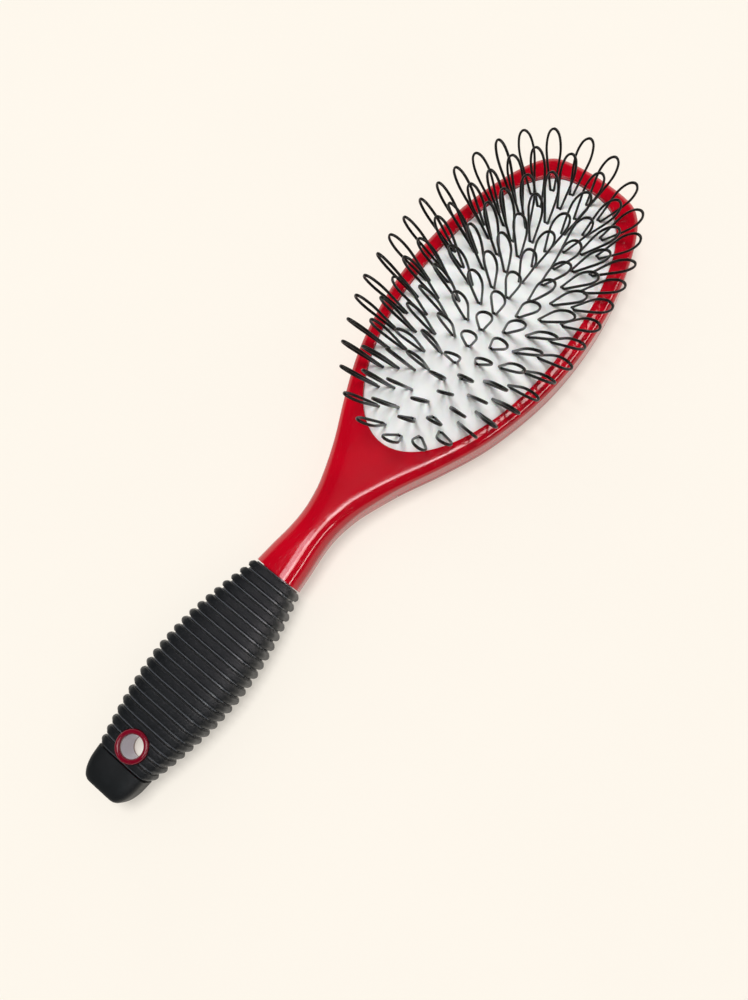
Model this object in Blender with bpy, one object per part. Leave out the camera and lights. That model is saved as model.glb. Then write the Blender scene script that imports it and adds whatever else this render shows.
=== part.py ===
"""A wig brush with looped nylon bristles on an air cushion, lying on its back.

Metres, +Z up, +Y from the handle towards the tip of the head. The origin is the middle of the flat back of
the head, which the brush rests on.
"""
import math
import random

import bmesh
import bpy
from mathutils import Vector

# Fits and cuts
CLEARANCE = 0.0003
CUT_OVERRUN = 0.002

# Plan of the head and neck
HEAD_HALF_WIDTH = 0.0305
HEAD_TIP = 0.0549
NECK_END = 0.1035
NECK_HALF_WIDTH = 0.0063

# Side view of the head and neck
HEAD_THICKNESS = 0.0130
NECK_THICKNESS = 0.0120
NECK_RISE_START = 0.050
BACK_LIFT_START = 0.064
NECK_RISE_END = 0.092
HEAD_EDGE_RADIUS = 0.0030
BACK_EDGE_RADIUS = 0.0025
NECK_EDGE_RADIUS = 0.0047

# Shell of the front frame
PLATE_THICKNESS = 0.0020
WINDOW_HALF_WIDTH = 0.0255
WINDOW_TIP_END = 0.0492
WINDOW_LOW_END = 0.0534
FLANGE_WIDTH = 0.0013

# Back cover
COVER_END = 0.062
COVER_EDGE_HEIGHT = 0.0040
COVER_FLOOR = 0.0020
CLAMP_RIB_WIDTH = 0.0012

# Rubber cushion
CUSHION_THICKNESS = 0.0020
CUSHION_EDGE_DEPTH = 0.0015
CROWN_RISE = 0.0050
FIXED_LIP = 0.0012

# Tufts and loops
FIRST_RING_INSET = 0.0045
CENTRE_RING_HALF_WIDTH = 0.0028
CENTRE_RING_HALF_LENGTH = 0.0275
TUFT_PITCH = 0.0061
LOOP_LENGTH = 0.0188
LOOP_WIDTH = 0.0053
FILAMENT_RADIUS = 0.00038
LEG_SPREAD = 0.0013
FOOT_DEPTH = 0.0010
SIDE_SPLAY = math.radians(40)
END_SPLAY = math.radians(22)
LOOP_TWIST = math.radians(20)

# Grip sleeve and the tang inside it
GRIP_LENGTH = 0.0693
GRIP_FRONT_HALF_WIDTH = 0.0083
GRIP_HALF_WIDTH = 0.0143
GRIP_REAR_HALF_WIDTH = 0.0095
GRIP_FRONT_HALF_HEIGHT = 0.0066
GRIP_HALF_HEIGHT = 0.0078
GRIP_REAR_HALF_HEIGHT = 0.0057
RIB_COUNT = 22
RIB_DEPTH = 0.0012
SLEEVE_WALL = 0.0015
TANG_ROOT = 0.0030

# End cap and the stub of the tang inside it
CAP_LENGTH = 0.0098
CAP_HALF_WIDTH = 0.0089
CAP_HALF_HEIGHT = 0.0055
CAP_END_HALF_WIDTH = 0.0056
CAP_END_HALF_HEIGHT = 0.0040
CAP_FLOOR = 0.0040
STUB_HALF_WIDTH = 0.0050
STUB_HALF_HEIGHT = 0.0024

# Hanging eyelet
EYELET_FROM_GRIP_END = 0.0056
EYELET_BORE_RADIUS = 0.0035
EYELET_TUBE_WALL = 0.0007
EYELET_RING_RADIUS = 0.0051
EYELET_RING_HEIGHT = 0.0015
EYELET_SEAT_DEPTH = 0.0009

# Counts of steps
OUTLINE_STEPS = 3
EDGE_STEPS = 3
WINDOW_STEPS = 48
GRIP_SIDES = 20
TANG_STEPS = 10
EYELET_SIDES = 20
RING_SAMPLES = 360
SLICES_IN_RING = (6, 5, 4, 2)

# Shares of named sizes, chosen by hand from the side of the outline
NECK_SHARES = ((1.24, 1.0), (1.15, 0.937), (1.04, 0.879), (1.0, 0.824), (1.07, 0.772))
SHOULDER_SHARES = (
    (0.270, 0.705),
    (0.410, 0.594),
    (0.617, 0.468),
    (0.794, 0.346),
    (0.911, 0.223),
    (0.983, 0.097),
)
HEAD_SHARES = (
    (1.0, 0.055),
    (0.967, 0.300),
    (0.895, 0.510),
    (0.796, 0.690),
    (0.685, 0.832),
    (0.569, 0.926),
    (0.396, 0.980),
    (0.0, 1.0),
)
RIB_SHARES = ((0.0, 1.0), (0.16, 0.3), (0.5, 0.0), (0.84, 0.3))
LOOP_SHARES = ((0.70, 0.38), (1.0, 0.67), (0.74, 0.90))
CAP_SHARES = ((0.0, 0.0), (0.42, 0.10), (0.72, 0.34), (0.92, 0.68), (1.0, 1.0))
GRIP_WIDEST_SHARE = 0.52
LOW_END_SQUARENESS_SHARE = 1.0
TIP_END_SQUARENESS_SHARE = 0.72
CENTRE_RING_SQUARENESS_SHARE = 0.45
CROWN_FULLNESS_SHARE = 0.75
GRIP_SQUARENESS_SHARE = 0.54
CAP_SQUARENESS_SHARE = 0.50
RING_TOP_SHARE = 0.55

# Sizes that follow from the ones above
GRIP_AXIS = GRIP_HALF_HEIGHT
GRIP_START = NECK_END + CLEARANCE
GRIP_END = GRIP_START + GRIP_LENGTH
CAP_START = GRIP_END + CLEARANCE
CAP_END = CAP_START + CAP_LENGTH
EYELET_Y = -(GRIP_END - EYELET_FROM_GRIP_END)
WINDOW_HALF_LENGTH = (WINDOW_TIP_END + WINDOW_LOW_END) / 2
WINDOW_CENTRE = WINDOW_TIP_END - WINDOW_HALF_LENGTH
PARTING = COVER_EDGE_HEIGHT
PLATE_UNDERSIDE = HEAD_THICKNESS - PLATE_THICKNESS
CUSHION_EDGE = HEAD_THICKNESS - CUSHION_EDGE_DEPTH
FLANGE_TOP = PLATE_UNDERSIDE - CLEARANCE
FLANGE_BOTTOM = FLANGE_TOP - CUSHION_THICKNESS
CHAMBER_GROWTH = FLANGE_WIDTH + CLEARANCE
SLEEVE_BUILD = RIB_DEPTH + SLEEVE_WALL
TUBE_RADIUS = EYELET_BORE_RADIUS + EYELET_TUBE_WALL

# Colours as linear red, green and blue, then roughness
FINISHES = {
    "red_plastic": ((0.515, 0.002, 0.012), 0.18),
    "white_rubber": ((0.775, 0.811, 0.838), 0.55),
    "black_nylon": ((0.008, 0.008, 0.006), 0.35),
    "grip_rubber": ((0.017, 0.021, 0.026), 0.50),
    "cap_plastic": ((0.010, 0.012, 0.013), 0.60),
    "ring_plastic": ((0.262, 0.003, 0.017), 0.22),
    "tube_plastic": ((0.610, 0.578, 0.680), 0.40),
}


# Scene and materials

def clear_scene():
    """Take every object out of the scene."""
    for old in list(bpy.data.objects):
        bpy.data.objects.remove(old, do_unlink=True)


def make_material(name):
    """Plain Principled material in one of the named finishes."""
    colour, roughness = FINISHES[name]
    material = bpy.data.materials.new(name)
    material.use_nodes = True
    shader = material.node_tree.nodes["Principled BSDF"]
    shader.inputs["Base Color"].default_value = (*colour, 1.0)
    shader.inputs["Roughness"].default_value = roughness
    shader.inputs["Metallic"].default_value = 0.0
    return material


# Mesh helpers

def make_object(name, vertices, faces, material):
    """Object with the given closed mesh, its faces turned outwards."""
    mesh = bpy.data.meshes.new(name)
    mesh.from_pydata([tuple(vertex) for vertex in vertices], [], faces)
    shape = bmesh.new()
    shape.from_mesh(mesh)
    bmesh.ops.recalc_face_normals(shape, faces=shape.faces)
    shape.to_mesh(mesh)
    shape.free()
    mesh.materials.append(material)
    made = bpy.data.objects.new(name, mesh)
    bpy.context.scene.collection.objects.link(made)
    return made


def combine(target, tool, operation):
    """Carry out one Boolean on the target and take the tool away."""
    modifier = target.modifiers.new(operation.lower(), "BOOLEAN")
    modifier.object = tool
    modifier.operation = operation
    modifier.solver = "EXACT"
    modifier.material_mode = "TRANSFER"
    evaluated = target.evaluated_get(bpy.context.evaluated_depsgraph_get())
    result = bpy.data.meshes.new_from_object(evaluated)
    target.modifiers.clear()
    before = target.data
    target.data = result
    bpy.data.meshes.remove(before)
    bpy.data.objects.remove(tool, do_unlink=True)


def smooth(made):
    """Shade the round faces smooth and keep the real edges sharp."""
    made.data.shade_smooth()
    made.data.set_sharp_from_angle(angle=math.radians(35))


def skin(rows, wrap=False):
    """Faces between closed rows of equal length, from each row to the next."""
    size = len(rows[0])
    vertices = [point for row in rows for point in row]
    faces = []
    last = len(rows) if wrap else len(rows) - 1
    for row in range(last):
        low = row * size
        high = ((row + 1) % len(rows)) * size
        for step in range(size):
            after = (step + 1) % size
            faces.append((low + step, low + after, high + after, high + step))
    return vertices, faces


def loft(name, rows, material):
    """Solid through closed rows, with a flat face over each end."""
    vertices, faces = skin(rows)
    size = len(rows[0])
    faces.append(tuple(range(size)))
    faces.append(tuple(range(len(vertices) - size, len(vertices))))
    return make_object(name, vertices, faces, material)


def prism(name, plan, low, high, material):
    """Upright solid over a closed plan."""
    return loft(name, [[(x, y, low) for x, y in plan], [(x, y, high) for x, y in plan]], material)


def squircle(half_width, half_height, y, squareness_share, sides):
    """Row of points round the grip's axis, from an ellipse at 1 to a square at 0."""
    row = []
    for side in range(sides):
        angle = math.tau * (side + 0.5) / sides
        across = math.copysign(abs(math.cos(angle)) ** squareness_share, math.cos(angle))
        upward = math.copysign(abs(math.sin(angle)) ** squareness_share, math.sin(angle))
        row.append((half_width * across, y, GRIP_AXIS + half_height * upward))
    return row


def upright_cylinder(name, radius, y, low, high, material):
    """Cutter for the eyelet, standing on the brush's centre line."""
    plan = []
    for side in range(EYELET_SIDES):
        angle = math.tau * side / EYELET_SIDES
        plan.append((radius * math.cos(angle), y + radius * math.sin(angle)))
    return prism(name, plan, low, high, material)


# Outline of the head and neck

def smooth_curve(knots, steps):
    """Points on a smooth curve through the knots, which ends square to the brush's axis."""
    first = knots[0] * 2 - knots[1]
    last = Vector((-knots[-2].x, knots[-2].y))
    line = [first, *knots, last]
    points = []
    for index in range(1, len(line) - 2):
        before, start, end, after = line[index - 1:index + 3]
        for step in range(steps):
            t = step / steps
            straight = (end - before) * t
            bent = (before * 2 - start * 5 + end * 4 - after) * t ** 2
            turned = (start * 3 - before - end * 3 + after) * t ** 3
            points.append(start + (straight + bent + turned) / 2)
    points.append(knots[-1])
    return points


def outline_points():
    """Right side of the outline, from the end of the neck to the tip."""
    knots = [Vector((x * NECK_HALF_WIDTH, -y * NECK_END)) for x, y in NECK_SHARES]
    knots += [Vector((x * HEAD_HALF_WIDTH, -y * NECK_END)) for x, y in SHOULDER_SHARES]
    knots += [Vector((x * HEAD_HALF_WIDTH, y * HEAD_TIP)) for x, y in HEAD_SHARES]
    return smooth_curve(knots, OUTLINE_STEPS)


def trim_outline(points, lowest):
    """The part of the outline above a line across the neck, with a point on that line."""
    kept = [point for point in points if point.y > lowest + CLEARANCE]
    below = points[len(points) - len(kept) - 1]
    share = (lowest - below.y) / (kept[0].y - below.y)
    return [below.lerp(kept[0], share), *kept]


def inward_normals(points):
    """Direction into the body at each point of the outline."""
    normals = [Vector((-1, 0))]
    for index in range(1, len(points) - 1):
        along = points[index + 1] - points[index - 1]
        normals.append(Vector((-along.y, along.x)).normalized())
    normals.append(Vector((0, -1)))
    return normals


def neck_blend(y, start=NECK_RISE_START):
    """0 above the start, 1 at the end of the neck and a smooth step between."""
    share = (-y - start) / (NECK_RISE_END - start)
    share = min(1, max(0, share))
    return share * share * (3 - 2 * share)


def top_height(y):
    """Height of the top face, which rises along the neck."""
    neck_top = GRIP_AXIS + NECK_THICKNESS / 2
    return HEAD_THICKNESS + (neck_top - HEAD_THICKNESS) * neck_blend(y)


def back_height(y):
    """Height of the back face, which lifts off past the cover."""
    return (GRIP_AXIS - NECK_THICKNESS / 2) * neck_blend(y, BACK_LIFT_START)


def edge_radius(y, head_radius):
    """Radius of a long edge, rounder along the neck."""
    return head_radius + (NECK_EDGE_RADIUS - head_radius) * neck_blend(y)


def back_level(share):
    """Inset and height on the rounded back edge, from the flat at 0 to the wall at 1."""
    angle = math.pi / 2 * (1 - share)

    def level(y):
        radius = edge_radius(y, BACK_EDGE_RADIUS)
        return radius * (1 - math.cos(angle)), back_height(y) + radius * (1 - math.sin(angle))
    return level


def top_level(share):
    """Inset and height on the rounded top edge, from the wall at 0 to the flat at 1."""
    angle = math.pi / 2 * share

    def level(y):
        radius = edge_radius(y, HEAD_EDGE_RADIUS)
        return radius * (1 - math.cos(angle)), top_height(y) - radius * (1 - math.sin(angle))
    return level


def stack(name, points, levels, material):
    """Solid over the outline, through levels that each give an inset and a height at any y."""
    normals = inward_normals(points)
    rows = []
    for level in levels:
        right = []
        for point, normal in zip(points, normals):
            inset, height = level(point.y)
            moved = point + normal * inset
            right.append((moved.x, moved.y, height))
        left = [(-x, y, z) for x, y, z in reversed(right[:-1])]
        rows.append(right + left)
    vertices, faces = skin(rows)
    size = len(rows[0])
    tip = len(points) - 1
    for start in (0, len(vertices) - size):
        for step in range(tip):
            across = size - 1 - step
            corners = (step, step + 1, across - 1, across) if step + 1 < tip else (step, tip, across)
            faces.append(tuple(start + corner for corner in corners))
    return make_object(name, vertices, faces, material)


# Curves that follow the window

def window_point(angle, half_width, half_length, roundness=1):
    """Point on a curve of the window's shape, blunter towards the tip of the head."""
    across = math.cos(angle)
    squareness = TIP_END_SQUARENESS_SHARE if math.sin(angle) > 0 else LOW_END_SQUARENESS_SHARE
    x = half_width * math.copysign(abs(across) ** (squareness * roundness), across)
    return x, WINDOW_CENTRE + half_length * math.sin(angle)


def window_plan(growth):
    """Closed plan of the window, grown outwards or inwards."""
    plan = []
    for step in range(WINDOW_STEPS):
        angle = math.tau * step / WINDOW_STEPS
        plan.append(window_point(angle, WINDOW_HALF_WIDTH + growth, WINDOW_HALF_LENGTH + growth))
    return plan


def crown_height(x, y):
    """Height of the cushion's top at a place in plan."""
    reach = (x / WINDOW_HALF_WIDTH) ** 2 + ((y - WINDOW_CENTRE) / WINDOW_HALF_LENGTH) ** 2
    return CUSHION_EDGE + CROWN_RISE * max(0, 1 - reach) ** CROWN_FULLNESS_SHARE


# Front frame

def make_front_frame(material):
    """Head, neck and tang in one moulding, open behind and with the window in front."""
    levels = [back_level(step / EDGE_STEPS) for step in range(EDGE_STEPS + 1)]
    levels += [top_level(step / EDGE_STEPS) for step in range(EDGE_STEPS + 1)]
    frame = stack("front_frame", outline_points(), levels, material)
    combine(frame, make_tang(material), "UNION")
    combine(frame, make_cover_room(material), "DIFFERENCE")
    chamber = prism("chamber", window_plan(CHAMBER_GROWTH), -CUT_OVERRUN, PLATE_UNDERSIDE, material)
    combine(frame, chamber, "DIFFERENCE")
    low = PLATE_UNDERSIDE - CUT_OVERRUN
    high = HEAD_THICKNESS + CUT_OVERRUN
    combine(frame, prism("window", window_plan(0), low, high, material), "DIFFERENCE")
    combine(frame, make_eyelet_hole(material), "DIFFERENCE")
    smooth(frame)


def make_cover_room(material):
    """Block that clears the frame below the parting line, where the back cover fits."""
    side = HEAD_HALF_WIDTH + CUT_OVERRUN
    low = -(COVER_END + CLEARANCE)
    high = HEAD_TIP + CUT_OVERRUN
    plan = [(-side, low), (side, low), (side, high), (-side, high)]
    return prism("cover_room", plan, -CUT_OVERRUN, PARTING + CLEARANCE, material)


def make_tang(material):
    """Core of the handle, which fills the sleeve and ends in a stub for the cap."""
    inset = SLEEVE_BUILD + CLEARANCE
    root = -(GRIP_START - TANG_ROOT)
    rows = [squircle(*grip_half_sizes(0, inset), root, GRIP_SQUARENESS_SHARE, GRIP_SIDES)]
    for step in range(TANG_STEPS + 1):
        share = step / TANG_STEPS
        y = -(GRIP_START + share * GRIP_LENGTH)
        rows.append(squircle(*grip_half_sizes(share, inset), y, GRIP_SQUARENESS_SHARE, GRIP_SIDES))
    stub_end = CAP_END - CAP_FLOOR - CLEARANCE
    for y in (-GRIP_END, -stub_end):
        rows.append(squircle(STUB_HALF_WIDTH, STUB_HALF_HEIGHT, y, CAP_SQUARENESS_SHARE, GRIP_SIDES))
    return loft("tang", rows, material)


def make_eyelet_hole(material):
    """Cutter for the hole that the eyelet's tube passes through."""
    radius = TUBE_RADIUS + CLEARANCE
    low = -CUT_OVERRUN
    high = GRIP_AXIS + GRIP_HALF_HEIGHT + CUT_OVERRUN
    return upright_cylinder("eyelet_hole", radius, EYELET_Y, low, high, material)


# Back cover

def make_back_cover(material):
    """Tray that closes the head from behind, with a rib that clamps the cushion's flange."""
    points = trim_outline(outline_points(), -COVER_END)
    levels = [back_level(step / EDGE_STEPS) for step in range(EDGE_STEPS + 1)]
    levels.append(lambda y: (0, PARTING))
    cover = stack("back_cover", points, levels, material)
    rib_top = FLANGE_BOTTOM - CLEARANCE
    rib = prism("clamp_rib", window_plan(FLANGE_WIDTH), COVER_FLOOR, rib_top, material)
    combine(cover, rib, "UNION")
    pocket_growth = FLANGE_WIDTH - CLAMP_RIB_WIDTH
    pocket = prism("pocket", window_plan(pocket_growth), COVER_FLOOR, rib_top + CUT_OVERRUN, material)
    combine(cover, pocket, "DIFFERENCE")
    smooth(cover)


# Cushion and loops

def make_cushion_rim(material):
    """Flange and outer lip of the cushion, which stay still when the crown is pressed."""
    section = (
        (FLANGE_WIDTH, FLANGE_BOTTOM),
        (FLANGE_WIDTH, FLANGE_TOP),
        (-CLEARANCE, FLANGE_TOP),
        (-CLEARANCE, CUSHION_EDGE),
    )
    rows = [[(x, y, height) for x, y in window_plan(growth)] for growth, height in section]
    lip = [(x, y, crown_height(x, y)) for x, y in window_plan(-FIXED_LIP)]
    rows.append(lip)
    rows.append([(x, y, z - CUSHION_THICKNESS) for x, y, z in lip])
    rows.append([(x, y, FLANGE_BOTTOM) for x, y in window_plan(-CLEARANCE)])
    vertices, faces = skin(rows, wrap=True)
    smooth(make_object("cushion_rim", vertices, faces, material))


def ring_shape(position):
    """Half width, half length and roundness of a tuft ring, counted from 0 at the edge."""
    share = position / (len(SLICES_IN_RING) - 1)
    outer_width = WINDOW_HALF_WIDTH - FIRST_RING_INSET
    outer_length = WINDOW_HALF_LENGTH - FIRST_RING_INSET
    half_width = outer_width + (CENTRE_RING_HALF_WIDTH - outer_width) * share
    half_length = outer_length + (CENTRE_RING_HALF_LENGTH - outer_length) * share
    roundness = 1 + (CENTRE_RING_SQUARENESS_SHARE - 1) * share
    return half_width, half_length, roundness


def even_angles(shape):
    """Angles of the tufts along a ring and of the cuts half way between them."""
    lengths = [0.0]
    angles = [-math.pi / 2 + math.tau * step / RING_SAMPLES for step in range(RING_SAMPLES + 1)]
    places = [Vector(window_point(angle, *shape)) for angle in angles]
    for before, after in zip(places, places[1:]):
        lengths.append(lengths[-1] + (after - before).length)
    count = 2 * round(lengths[-1] / TUFT_PITCH / 2)
    marks = []
    sample = 0
    for mark in range(2 * count + 1):
        wanted = lengths[-1] * mark / (2 * count)
        while sample < RING_SAMPLES - 1 and lengths[sample + 1] < wanted:
            sample += 1
        share = (wanted - lengths[sample]) / (lengths[sample + 1] - lengths[sample])
        marks.append(angles[sample] + share * (angles[sample + 1] - angles[sample]))
    return marks[1::2], marks[0::2]


def tuft_place(angle, shape):
    """Place of a tuft on its ring, clear of the brush's centre line."""
    x, y = window_point(angle, *shape)
    return math.copysign(max(abs(x), CENTRE_RING_HALF_WIDTH), x), y


def band_edges(ring):
    """Outer and inner edges of the band of cushion that carries a ring of tufts."""
    half_gap = CLEARANCE / 2
    if ring == 0:
        lip = FIXED_LIP + CLEARANCE
        outer = (WINDOW_HALF_WIDTH - lip, WINDOW_HALF_LENGTH - lip, 1)
    else:
        half_width, half_length, roundness = ring_shape(ring - 0.5)
        outer = (half_width - half_gap, half_length - half_gap, roundness)
    if ring == len(SLICES_IN_RING) - 1:
        inner = (0, outer[1] - CENTRE_RING_HALF_WIDTH, 1)
    else:
        half_width, half_length, roundness = ring_shape(ring + 0.5)
        inner = (half_width + half_gap, half_length + half_gap, roundness)
    return outer, inner


def end_angle(angle, edge, inward):
    """Angle of a slice's end on one edge, drawn back from the cut by half a gap."""
    tiny = math.tau / RING_SAMPLES
    here = Vector(window_point(angle, *edge))
    there = Vector(window_point(angle + inward * tiny, *edge))
    speed = (there - here).length / tiny
    return angle + inward * CLEARANCE / (2 * speed)


def slice_solid(name, ring, start, end, material):
    """Piece of the cushion between two cuts, without its loops."""
    outer, inner = band_edges(ring)
    grid = math.tau / WINDOW_STEPS
    between = [step * grid for step in range(math.ceil(start / grid), math.floor(end / grid) + 1)]
    between = [angle for angle in between if start + grid / 3 < angle < end - grid / 3]
    centre_ring = ring == len(SLICES_IN_RING) - 1
    rows = []
    for index in range(len(between) + 2):
        corners = []
        for edge in (outer, inner):
            if index == 0:
                angle = end_angle(start, outer, 1)
            elif index == len(between) + 1:
                angle = end_angle(end, outer, -1)
            else:
                angle = between[index - 1]
            if not centre_ring and index in (0, len(between) + 1):
                angle = end_angle(start, edge, 1) if index == 0 else end_angle(end, edge, -1)
            x, y = window_point(angle, *edge)
            if centre_ring:
                x = math.copysign(max(abs(x), CLEARANCE / 2), math.cos((start + end) / 2))
            corners.append((x, y, crown_height(x, y)))
        under = [(x, y, z - CUSHION_THICKNESS) for x, y, z in reversed(corners)]
        rows.append(corners + under)
    return loft(name, rows, material)


def loop_path(x, y, dice):
    """Centre line of one loop and the direction square to its plane."""
    half_width, half_length = ring_shape(0)[:2]
    lean_x = math.tan(SIDE_SPLAY) * x / half_width
    lean_y = math.tan(END_SPLAY) * (y - WINDOW_CENTRE) / half_length
    upward = Vector((lean_x, lean_y, 1)).normalized()
    twist = dice.uniform(-LOOP_TWIST, LOOP_TWIST)
    across = Vector((math.cos(twist), math.sin(twist), 0))
    across = (across - upward * across.dot(upward)).normalized()
    half_loop = LOOP_WIDTH / 2 - FILAMENT_RADIUS
    side = [(LEG_SPREAD / 2, -FOOT_DEPTH)]
    side += [(width * half_loop, length * LOOP_LENGTH) for width, length in LOOP_SHARES]
    line = [(-width, length) for width, length in side] + [(0, LOOP_LENGTH)] + side[::-1]
    foot = Vector((x, y, crown_height(x, y)))
    path = [foot + across * width + upward * length for width, length in line]
    return path, upward.cross(across)


def filament(path, square):
    """Vertices and faces of a three-sided strand along a flat path."""
    rows = []
    for index, point in enumerate(path):
        before = path[max(index - 1, 0)]
        after = path[min(index + 1, len(path) - 1)]
        side = (after - before).normalized().cross(square)
        row = []
        for corner in range(3):
            angle = math.tau * corner / 3
            row.append(point + (square * math.cos(angle) + side * math.sin(angle)) * FILAMENT_RADIUS)
        rows.append(row)
    vertices, faces = skin(rows)
    faces.append((0, 1, 2))
    faces.append((len(vertices) - 3, len(vertices) - 2, len(vertices) - 1))
    return vertices, faces


def make_loop_slice(name, ring, start, end, tufts, dice, cushion, nylon):
    """One slice of the cushion with its loops fused on."""
    piece = slice_solid(name, ring, start, end, cushion)
    vertices = []
    faces = []
    for x, y in tufts:
        points, sides = filament(*loop_path(x, y, dice))
        faces += [tuple(len(vertices) + corner for corner in side) for side in sides]
        vertices += points
    loops = make_object("loops", vertices, faces, nylon)
    combine(piece, loops, "UNION")
    smooth(piece)


def make_loop_slices(cushion, nylon):
    """Every slice of the crown, ring by ring from the edge to the middle."""
    dice = random.Random(7)
    for ring, slices in enumerate(SLICES_IN_RING):
        shape = ring_shape(ring)
        tuft_angles, cut_angles = even_angles(shape)
        count = len(tuft_angles)
        for number in range(slices):
            first = round(number * count / slices)
            last = round((number + 1) * count / slices)
            tufts = [tuft_place(angle, shape) for angle in tuft_angles[first:last]]
            name = f"loop_ring_{ring + 1}_slice_{number + 1}"
            make_loop_slice(name, ring, cut_angles[first], cut_angles[last], tufts, dice, cushion, nylon)


# Grip sleeve

def grip_half_sizes(share, inset):
    """Half width and half height of the grip at a share of its length, less an inset."""
    if share < GRIP_WIDEST_SHARE:
        swell = math.sin(math.pi / 2 * share / GRIP_WIDEST_SHARE)
        base = (GRIP_FRONT_HALF_WIDTH, GRIP_FRONT_HALF_HEIGHT)
    else:
        swell = math.cos(math.pi / 2 * (share - GRIP_WIDEST_SHARE) / (1 - GRIP_WIDEST_SHARE))
        base = (GRIP_REAR_HALF_WIDTH, GRIP_REAR_HALF_HEIGHT)
    half_width = base[0] + (GRIP_HALF_WIDTH - base[0]) * swell - inset
    half_height = base[1] + (GRIP_HALF_HEIGHT - base[1]) * swell - inset
    return half_width, half_height


def make_grip_sleeve(material):
    """Ribbed rubber sleeve over the tang, with a seat for the eyelet on both faces."""
    pitch = GRIP_LENGTH / RIB_COUNT
    rows = []
    for rib in range(RIB_COUNT):
        for along, depth in RIB_SHARES:
            share = (rib + along) / RIB_COUNT
            y = -(GRIP_START + (rib + along) * pitch)
            sizes = grip_half_sizes(share, depth * RIB_DEPTH)
            rows.append(squircle(*sizes, y, GRIP_SQUARENESS_SHARE, GRIP_SIDES))
    rows.append(squircle(*grip_half_sizes(1, RIB_DEPTH), -GRIP_END, GRIP_SQUARENESS_SHARE, GRIP_SIDES))
    for step in range(TANG_STEPS, -1, -1):
        share = step / TANG_STEPS
        y = -(GRIP_START + share * GRIP_LENGTH)
        rows.append(squircle(*grip_half_sizes(share, SLEEVE_BUILD), y, GRIP_SQUARENESS_SHARE, GRIP_SIDES))
    vertices, faces = skin(rows, wrap=True)
    sleeve = make_object("grip_sleeve", vertices, faces, material)
    combine(sleeve, make_eyelet_hole(material), "DIFFERENCE")
    seat = eyelet_seat()
    radius = EYELET_RING_RADIUS + CLEARANCE
    low = -CUT_OVERRUN
    high = GRIP_AXIS + GRIP_HALF_HEIGHT + CUT_OVERRUN
    front = upright_cylinder("front_seat", radius, EYELET_Y, GRIP_AXIS + seat, high, material)
    combine(sleeve, front, "DIFFERENCE")
    back = upright_cylinder("back_seat", radius, EYELET_Y, low, GRIP_AXIS - seat, material)
    combine(sleeve, back, "DIFFERENCE")
    smooth(sleeve)


# End cap

def make_end_cap(material):
    """Tapered cap on the stub of the tang."""
    rows = []
    for taper, narrowing in reversed(CAP_SHARES):
        half_width = CAP_HALF_WIDTH + (CAP_END_HALF_WIDTH - CAP_HALF_WIDTH) * narrowing
        half_height = CAP_HALF_HEIGHT + (CAP_END_HALF_HEIGHT - CAP_HALF_HEIGHT) * narrowing
        y = -(CAP_START + taper * CAP_LENGTH)
        rows.append(squircle(half_width, half_height, y, CAP_SQUARENESS_SHARE, GRIP_SIDES))
    socket_width = STUB_HALF_WIDTH + CLEARANCE
    socket_height = STUB_HALF_HEIGHT + CLEARANCE
    for y in (-CAP_START, -(CAP_END - CAP_FLOOR)):
        rows.append(squircle(socket_width, socket_height, y, CAP_SQUARENESS_SHARE, GRIP_SIDES))
    smooth(loft("end_cap", rows, material))


# Hanging eyelet

def eyelet_seat():
    """Height of the eyelet's seat from the grip's axis."""
    share = (-EYELET_Y - GRIP_START) / GRIP_LENGTH
    return grip_half_sizes(share, EYELET_SEAT_DEPTH)[1]


def turn(name, section, material):
    """Ring turned about the eyelet's axis from a closed section of radius and height."""
    rows = []
    for radius, height in section:
        row = []
        for side in range(EYELET_SIDES):
            angle = math.tau * side / EYELET_SIDES
            row.append((radius * math.cos(angle), EYELET_Y + radius * math.sin(angle), height))
        rows.append(row)
    vertices, faces = skin(rows, wrap=True)
    smooth(make_object(name, vertices, faces, material))


def make_eyelet(ring_material, tube_material):
    """Tube through the grip and the two rings that close over its ends."""
    seat = eyelet_seat()
    tube = (
        (EYELET_BORE_RADIUS, GRIP_AXIS - seat),
        (TUBE_RADIUS, GRIP_AXIS - seat),
        (TUBE_RADIUS, GRIP_AXIS + seat),
        (EYELET_BORE_RADIUS, GRIP_AXIS + seat),
    )
    turn("eyelet_tube", tube, tube_material)
    for name, facing in (("eyelet_ring_front", 1), ("eyelet_ring_back", -1)):
        foot = GRIP_AXIS + facing * (seat + CLEARANCE)
        shoulder = foot + facing * EYELET_RING_HEIGHT * RING_TOP_SHARE
        crest = foot + facing * EYELET_RING_HEIGHT
        middle = (EYELET_BORE_RADIUS + EYELET_RING_RADIUS) / 2
        ring = (
            (EYELET_BORE_RADIUS, foot),
            (EYELET_RING_RADIUS, foot),
            (EYELET_RING_RADIUS, shoulder),
            (middle, crest),
            (EYELET_BORE_RADIUS, shoulder),
        )
        turn(name, ring, ring_material)


def make_brush():
    """Whole brush, one object for each piece."""
    clear_scene()
    finishes = {name: make_material(name) for name in FINISHES}
    make_front_frame(finishes["red_plastic"])
    make_back_cover(finishes["red_plastic"])
    make_cushion_rim(finishes["white_rubber"])
    make_loop_slices(finishes["white_rubber"], finishes["black_nylon"])
    make_grip_sleeve(finishes["grip_rubber"])
    make_end_cap(finishes["cap_plastic"])
    make_eyelet(finishes["ring_plastic"], finishes["tube_plastic"])


make_brush()
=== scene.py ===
"""Looks of a wig brush with looped bristles, lying on its back on a pale table.

Metres, +Z up, +Y from the handle towards the tip of the head. The origin is the middle of the flat back of
the head, which the brush rests on.
"""
import logging
import math
import random
from dataclasses import dataclass, field
from enum import Enum
from typing import Any, Callable, Iterable, Mapping, Sequence

import bmesh
import bpy
import numpy as np
from mathutils import Matrix, Vector


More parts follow.
